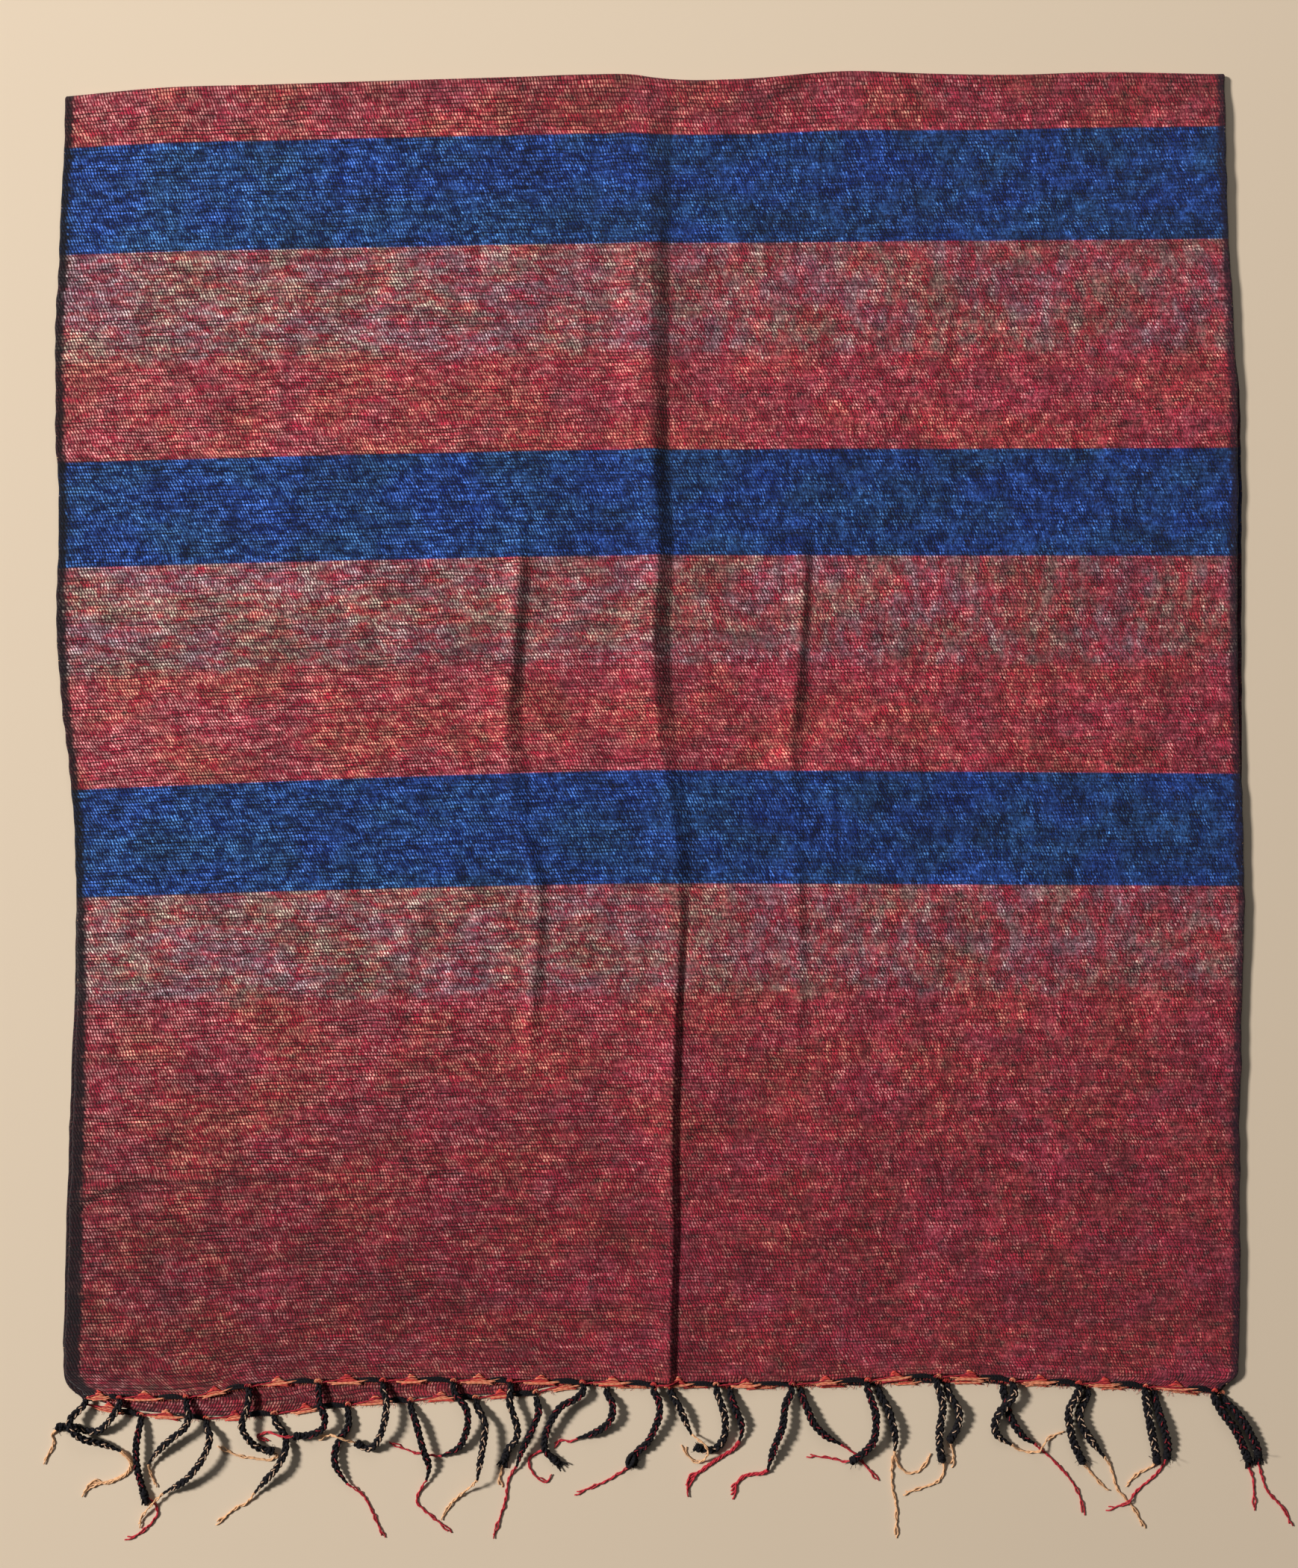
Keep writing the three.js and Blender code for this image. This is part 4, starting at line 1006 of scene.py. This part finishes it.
def yarn_material(name, twist, relief):
    """Twisted yarn: slanting bright and dark bands round it, the dark ones painted shade in the grooves of
    the twist, and loose fibres.
    """
    shade = Shade(name, 0.9, 0.0)
    around, run = shade.split_uv("yarn")
    band = shade.maths("ABSOLUTE", shade.maths("SINE", (run / twist + around) * math.pi))
    fibre = shade.noise(shade.join(around * 9.0, run * 700.0), 1.0, 3.0, 0.6)
    # painted shade: the yarn's colour deepens in the grooves of its twist
    share = shade.range(band, 0.1, 0.9, 0.25, 1.0) * shade.range(fibre, 0.3, 0.7, 0.45, 1.0)
    deep, light = (colour(code) for code in YARN_COLOURS[name])
    return shade.finish(shade.mix(share, deep, light), band + fibre, relief)


def floor_material():
    shade = Shade("floor", 0.75, 0.0)
    shade.put(shade.shader.inputs["Base Color"], colour(FLOOR_COLOUR))
    return shade.material


# ---------------------------------------------------------------- yarns

def on_floor(line, z):
    """The same line, lifted to that height where it would lie lower."""
    line[:, 2] = np.maximum(line[:, 2], z)
    return line


def beside(line, *shifts):
    """The line, moved along each axis by its own amount at each point."""
    for axis, amount in shifts:
        line = line + axis * amount[:, None]
    return line


def wave(run, length, seed):
    """A line's own random sway, between about -1 and 1."""
    rng = np.random.default_rng(seed)
    total = 0 * run
    for share in (1.0, 0.6, 0.45):
        total = total + share * np.sin(2 * math.pi * run / (length * share) + rng.uniform(0, 2 * math.pi))
    return total / 1.6


def plait_size(line, run, ending, seed):
    """How thick a plait is along its length, as a share of the usual."""
    thinner, length = TAPER if ending == "taper" else BLUNT
    size = 1.0 - thinner * ease(1 - (run[-1] - run) / length)
    size = size * (0.82 + 0.18 * ease(run / 0.005)) * (1 + 0.07 * wave(run, 0.021, seed))
    # those to the right are fuller
    return size * (1 + 0.2 * np.clip((line[0, 0] + 0.1) / 0.5, 0, 1))


def add_plait(maker, line, ending, seed):
    """Three black strands that pass over each other, and drops of coloured yarn where one comes up."""
    _, side, lift = level_frame(line)
    run = distances(line)
    rng = np.random.default_rng(seed)
    size = plait_size(line, run, ending, seed)
    start = rng.uniform(0, 1)
    for k in range(3):
        turns = run / PLAIT_CYCLE + start + k / 3
        phase = 2 * math.pi * turns
        swing, rise = PLAIT_SWING * size * np.sin(phase), PLAIT_RISE * size * np.sin(2 * phase)
        strand = on_floor(beside(line, (side, swing), (lift, rise - PLAIT_DROP)), STRAND * 1.18 * size)
        maker.tube(strand, STRAND * size, BLACK, sides=10, lobes=2, depth=0.17, turn=0.0052)
        half_turns = turns * 2 - 0.25  # whole where the strand is highest
        for top in range(math.ceil(half_turns[0]), math.floor(half_turns[-1]) + 1):
            middle = np.interp(top, half_turns, run)
            if rng.random() > FLECK_CHANCE[k] or not 0.004 < middle < run[-1] - 0.006:
                continue
            reach = rng.uniform(0.0011, 0.0019) + PLAIT_STEP
            i = np.flatnonzero(np.abs(run - middle) < reach)
            if len(i) < 4:
                continue
            t = (run[i] - middle) / reach
            lean = side[i] * rng.uniform(-0.5, 0.5) + lift[i]
            drop = strand[i] + unit(lean) * (STRAND * 0.98 * size[i])[:, None]
            maker.tube(drop, FLECK * np.sqrt(np.clip(1.06 - t**2, 0.05, 1)), PALE, sides=6)


def add_knot(maker, line, at, reach, seed):
    """Black yarn wound round the end of a plait."""
    along, side, lift = level_frame(line)
    rng = np.random.default_rng(seed)
    i = min(at, len(line) - 2)
    centre = line[i] - lift[i] * PLAIT_DROP
    for start, slope in ((0.0, 1.0), (2.6, -0.8)):
        turn = np.linspace(0, 1.35 * 2 * math.pi, 26)
        push = (turn / turn[-1] - 0.5) * 0.0042 * slope + rng.uniform(-0.0004, 0.0004)
        swing, rise = reach * np.cos(turn + start), reach * 0.72 * np.sin(turn + start) + 0.0002
        ring = beside(centre, (along[i], push), (side[i], swing), (lift[i], rise))
        maker.tube(on_floor(ring, 0.00135), RADIUS["knot"], BLACK, **KNOT_PLIES)


def add_brush(maker, line, seed):
    """The cut ends of the strands, fanned out past the end of a plait."""
    along, side, lift = (axis[-1] for axis in level_frame(line))
    rng = np.random.default_rng(seed)
    end = line[-1] - lift * PLAIT_DROP
    for k in range(BRUSH_YARNS):
        spread = (k + 0.5) / BRUSH_YARNS * 2 - 1
        reach = BRUSH_LENGTH * rng.uniform(0.65, 1.1)
        t = np.linspace(-0.35, 1, 7)[:, None]
        heading = along + side * spread * 0.42 + lift * rng.uniform(-0.15, 0.15)
        yarn = end + heading * reach * t + side * spread * 0.0016
        yarn = yarn + lift * rng.uniform(-0.0009, 0.0009)
        maker.tube(on_floor(yarn, 0.0007), RADIUS["brush"], BLACK, sides=6)


def add_bow(maker, line, seed):
    """A large tight knot beside the plait's end."""
    along, side, lift = (axis[-1] for axis in level_frame(line))
    centre = line[-1] - along * 0.0035 + side * 0.0016 - lift * PLAIT_DROP * 0.5
    turn = np.linspace(0, 2 * math.pi, 30)
    for start, width, length, height in BOW_LOOPS:
        swing, rise = width * np.sin(turn + start * 0.2), height * (0.6 + np.sin(turn + start))
        loop = beside(centre, (along, length * np.cos(turn)), (side, swing), (lift, rise))
        maker.tube(on_floor(loop, 0.00145), RADIUS["bow"], BLACK, **KNOT_PLIES)
    add_knot(maker, line, len(line) - 4, 0.0026, seed)


def add_hairs(maker, centre, along, seed):
    """Short stray ends of black yarn round a knot."""
    rng = np.random.default_rng(seed)
    for _ in range(KNOT_HAIRS):
        heading = unit(rng.normal(size=3) * (1, 1, 0.6) + along * 0.5)
        curl = unit(rng.normal(size=3)) * 0.35
        t = np.linspace(0.1, 1, 6)[:, None]
        hair = centre + heading * 0.0016 + (heading * t + curl * t**2) * HAIR_LENGTH * rng.uniform(0.5, 1.1)
        maker.tube(on_floor(hair, 0.0004), RADIUS["hair"], BLACK, sides=4)


def add_tail(maker, points, thick, seed):
    """Loose yarns past the knot, twisted round each other at first and parting towards their ends."""
    line = smooth_line(points, TAIL_STEP)
    _, side, lift = level_frame(line)
    run = distances(line)
    share = run / run[-1]
    strands = 4 if thick else 2
    radius = TAIL_YARN * (1.15 if thick else 1.0)
    twist = radius * (1.4 if thick else 1.0)
    for k in range(strands):
        turn = 2 * math.pi * (run / 0.013 + k / strands)
        part = (k - (strands - 1) / 2) * 0.0013 * ease((share - 0.45) / 0.55)
        sway = part + twist * np.cos(turn) + 0.0004 * wave(run, 0.008, seed + 5 * k)
        yarn = beside(line, (side, sway), (lift, twist * 0.7 * np.sin(turn)))
        keep = len(yarn) - (k * 2 if len(yarn) > 14 else 0)
        maker.tube(on_floor(yarn[:keep], radius + 0.0001), radius, WARM, sides=6)


def in_metres(points):
    """Places given in millimetres. One without a height lies on the floor."""
    return [[round(k / 1000, 4) for k in (x, y, *(rest or [FLOOR_YARN_MM]))] for x, y, *rest in points]


def make_plaits(side, routes, ends, thick_tails, cream, yarns, body):
    black, pale, crimson, peach, red_tail = yarns
    pieces = []
    for number, ((points, tails), ending) in enumerate(zip(routes, ends), 1):
        seed = 100 * len(routes) + number
        is_cream = number in cream
        line = smooth_line(in_metres(points), PLAIT_STEP)
        maker = Maker()
        add_plait(maker, line, ending, seed)
        if ending in ("knot", "brush"):
            add_knot(maker, line, len(line) - 3, 0.0019, seed)
        if ending == "brush":
            add_brush(maker, line, seed)
        if ending == "bow":
            add_bow(maker, line, seed)
        if ending != "taper":
            add_hairs(maker, line[-3], unit(line[-1] - line[-4]), seed)
        for k, tail in enumerate(tails):
            add_tail(maker, in_metres(tail), number in thick_tails, seed * 10 + k)
        materials = [black, pale if is_cream else crimson, peach if is_cream else red_tail]
        piece = maker.make(f"plait_{side}_{number:02d}", materials, "yarn")
        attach(piece, body)
        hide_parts(f"{side}_braid_{number:02d}")
        pieces.append(piece)
    return pieces


# ---------------------------------------------------------------- hems and selvedges

class Hem:
    """Warp ends gathered between the roots of the plaits: a red fan, then a black bundle into the root."""

    def __init__(self, layer, height_at, seed):
        self.layer, self.height_at = layer, height_at
        self.maker = Maker()
        self.rng = np.random.default_rng(seed)
        self.jitter = self.rng.uniform

    def yarn(self, x_list, rise_list, lift_list, radius, material, sides=6):
        """A yarn through places along the hem: how far up from its edge, and how far off the cloth."""
        x, rise, lift = (np.array(k, float) for k in (x_list, rise_list, lift_list))
        y = self.layer.hem_y(x) + rise
        base = self.height_at(x, np.maximum(y, self.layer.hem_y(x) + HEM_COVER))
        z = base + (CLOTH_THICKNESS / 2) * ease(rise / 0.0035) + lift
        line = smooth_line(np.stack([x, y, z], axis=1), TAIL_STEP)
        self.maker.tube(on_floor(line, radius + 0.0001), radius, material, sides=sides)

    def any_red(self):
        return 1 + int(self.jitter(0, 2.99))

    def gap(self, left, right):
        """From one root to the next: a dark edge, a fan of red yarns with its tip up, a black bundle."""
        span, jitter = right - left, self.jitter
        tip = left + span * (0.42 + jitter(-0.04, 0.04))
        half = min(0.0082, span * 0.27) * jitter(0.8, 1.15)
        low = jitter(-0.0010, -0.0004)
        for k in range(3):
            x = [left + 0.001, left + span * 0.13, tip - half, tip]
            material = BLACK if k == 1 and jitter() < 0.5 else DEEP_RED
            rise, lift = [0.0004, 0.0010, 0.0016, 0.0024 + k * 0.0006], [0.0001 + 0.0004 * k] * 4
            self.yarn(x, rise, lift, RADIUS["hem edge"], material)
        self.fan(tip, half, low)
        for k in range(2):
            shift = low + jitter(-0.0008, 0.0008)
            x = tip + half * np.array([-1.5, -0.5, 0.7, 1.7])
            rise = shift + np.array([0.0012, 0.0006, 0.0012, 0.0030])
            self.yarn(x, rise, [0.0006, 0.0009, 0.0009, 0.0006], RADIUS["hem cross"], ORANGE)
        self.bundle(tip + half * 0.75, right)
        for k in range(4):
            self.loop(right + jitter(-0.0014, 0.0010), jitter(0.0010, 0.0022), self.any_red())

    def fan(self, tip, half, low):
        jitter = self.jitter
        across = np.array([-1.0, -0.5, 0.0, 0.5, 1.0])
        for k in range(FAN_LAYERS):
            share = k / FAN_LAYERS
            reach = half * (1 - share) ** 0.8 * jitter(0.9, 1.1)
            rise = low - 0.0006 + 0.0074 * share ** 1.1
            bow = (1 - across**2) * jitter(0.0003, 0.0010) + jitter(-0.0004, 0.0004) * across
            x = tip + reach * across + jitter(-0.0006, 0.0006)
            radius = jitter(0.00036, 0.00052)
            self.yarn(x, rise + bow, 0.0004 + 0.0004 * (1 - across**2), radius, self.rng.choice(FAN_REDS))

    def bundle(self, start, right):
        jitter, length = self.jitter, right - start
        for k in range(4):
            full = 0.0034 - 0.0009 * k + jitter(-0.0004, 0.0004)
            middle = [start + length * share for share in (0.35, 0.6, 0.85)]
            x = [start + jitter(0.001, 0.003), *middle, right]
            rise = [full * 0.5 + 0.0008, full * 0.95, full, full * 0.55 - 0.0004, 0.0002 - 0.0004 * k]
            lift = [0.0002, 0.0005, 0.0007, 0.0008, 0.0008]
            self.yarn(x, rise, lift, RADIUS["bundle"], BLACK, sides=8)

    def loop(self, x, reach, material):
        turn = np.linspace(-0.2, math.pi + 0.2, 9)
        rise, lift = 0.0010 + reach * 1.15 * np.sin(turn), 0.0012 + 0.0005 * np.sin(turn)
        self.yarn(x + reach * 0.8 * np.cos(turn), rise, lift, RADIUS["hem loop"], material)

    def fuzz(self, left, right):
        """Fine loose fibres that stand out past the hem."""
        jitter = self.jitter
        for x in np.arange(left, right, FUZZ_PITCH):
            reach = jitter(0.0008, 0.0032) * (1.5 if jitter() < 0.12 else 1.0)
            lean, curl, start = jitter(-0.8, 0.8), jitter(-0.5, 0.5), jitter(-0.0002, 0.0022)
            t = np.linspace(0, 1, 5)
            along = x + reach * (lean * t + curl * t**2)
            y = self.layer.hem_y(along) + start - reach * t
            base = self.height_at(along, self.layer.hem_y(along) + HEM_COVER)
            line = np.stack([along, y, base + 0.0004 * jitter(-1, 1) - 0.0004 * t], axis=1)
            self.maker.tube(on_floor(line, 0.0003), RADIUS["fuzz"], self.any_red(), sides=4)

    def make(self, name, roots, ends, materials):
        self.fuzz(*ends)
        places = [ends[0], *roots, ends[1]]
        for left, right in zip(places[:-1], places[1:]):
            if right - left > 0.012:
                self.gap(left, right)
        return self.maker.make(name, materials, "yarn")


def make_selvedge_loops(name, layer, height_at, materials, seed):
    """The turns of the weft round the outermost warp ends."""
    maker, rng = Maker(), np.random.default_rng(seed)
    turn = np.linspace(-0.35, 1.0, 6) * math.pi
    for edge_at, outward, pale in ((layer.left_x, -1, 0.06), (layer.right_x, 1, 0.30)):
        for y in np.arange(layer.left[0][1] + 0.004, LOOPS_END_Y, WEFT_PITCH):
            x = float(edge_at(np.array([y]))[0])
            reach = rng.uniform(0.0002, 0.0007)
            z = float(np.ravel(height_at(np.array([x]), np.array([y])))[0])
            line = np.stack([
                x + outward * (reach * np.sin(turn) - 0.0002),
                y + 0.0006 * np.linspace(-1, 1, 6) + rng.uniform(-0.0003, 0.0003),
                z + 0.0007 * np.cos(turn),
            ], axis=1)
            material = PALE if rng.random() < pale else BLACK
            maker.tube(on_floor(line, 0.0005), RADIUS["selvedge"], material, sides=5)
    return maker.make(name, materials, "yarn")


# ---------------------------------------------------------------- the scene

def set_view():
    data = bpy.data.cameras.new("camera")
    data.sensor_width = SENSOR
    data.lens = SENSOR * CAMERA_HEIGHT / VIEW_LENGTH
    camera = bpy.data.objects.new("camera", data)
    camera.location = (*VIEW_CENTRE, CAMERA_HEIGHT)
    bpy.context.scene.collection.objects.link(camera)
    bpy.context.scene.camera = camera
    bpy.context.scene.view_settings.view_transform = "Standard"


def add_light(name, place, target, size, power, tint):
    data = bpy.data.lights.new(name, "AREA")
    data.shape, data.size, data.energy, data.color = "DISK", size, power, tint
    light = bpy.data.objects.new(name, data)
    light.location = place
    light.rotation_euler = (Vector(target) - Vector(place)).to_track_quat("-Z", "Y").to_euler()
    bpy.context.scene.collection.objects.link(light)


def set_world(tint, strength):
    world = bpy.data.worlds.new("soft_room")
    world.use_nodes = True
    back = world.node_tree.nodes["Background"]
    back.inputs[0].default_value = tint
    back.inputs[1].default_value = strength
    bpy.context.scene.world = world


def make_floor():
    mesh = bpy.data.meshes.new("floor")
    corners = [(x * FLOOR_REACH, y * FLOOR_REACH, 0) for x, y in ((-1, -1), (1, -1), (1, 1), (-1, 1))]
    mesh.from_pydata(corners, [], [(0, 1, 2, 3)])
    mesh.materials.append(floor_material())
    floor = bpy.data.objects.new("floor", mesh)
    bpy.context.scene.collection.objects.link(floor)


def make_edges(side, layer, routes, height_at, hem_yarns, loop_yarns, seed):
    """The hem of one end, and the loops along both selvedges of that half."""
    body = f"{side}_layer"
    roots = [in_metres(points)[0][0] for points, _ in routes]
    ends = (float(layer.end[0, 0]), float(layer.end[-1, 0]))
    hem = Hem(layer, height_at, seed).make(f"hem_{side}", roots, ends, hem_yarns)
    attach(hem, body)
    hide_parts(f"{side}_hem")
    loops = make_selvedge_loops(f"selvedge_{side}", layer, height_at, loop_yarns, seed + 10)
    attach(loops, body)
    return [hem, loops]


def make_throw():
    upper, lower = Layer("upper_cloth", "upper_hem"), Layer("lower_cloth", "lower_hem")
    names = list(YARN_COLOURS)
    black, pale, crimson = (yarn_material(name, FLECK_TWIST, FLECK_RELIEF) for name in names[:3])
    peach, red_tail, *reds = (yarn_material(name, LOOSE_TWIST, LOOSE_RELIEF) for name in names[3:])
    cloth = make_cloth(upper, lower, Twill().make())
    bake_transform(cloth)
    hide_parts("lower_cloth", "upper_cloth", "fold_bend")

    yarns = (black, pale, crimson, peach, red_tail)
    pieces = []
    for side, *fringe in (
        ("upper", UPPER_ROUTES, UPPER_ENDS, UPPER_THICK_TAILS, UPPER_CREAM),
        ("lower", LOWER_ROUTES, LOWER_ENDS, LOWER_THICK_TAILS, LOWER_CREAM),
    ):
        pieces += make_plaits(side, *fringe, yarns, f"{side}_layer")
    pieces += make_edges("upper", upper, UPPER_ROUTES, upper_z, [black, *reds], [black, peach], 5)
    pieces += make_edges("lower", lower, LOWER_ROUTES, lower_z, [black, *reds], [black, peach], 6)


make_throw()
make_floor()
set_view()
add_light("key", **KEY_LIGHT)
add_light("window", **WINDOW_LIGHT)
set_world(**ROOM_LIGHT)
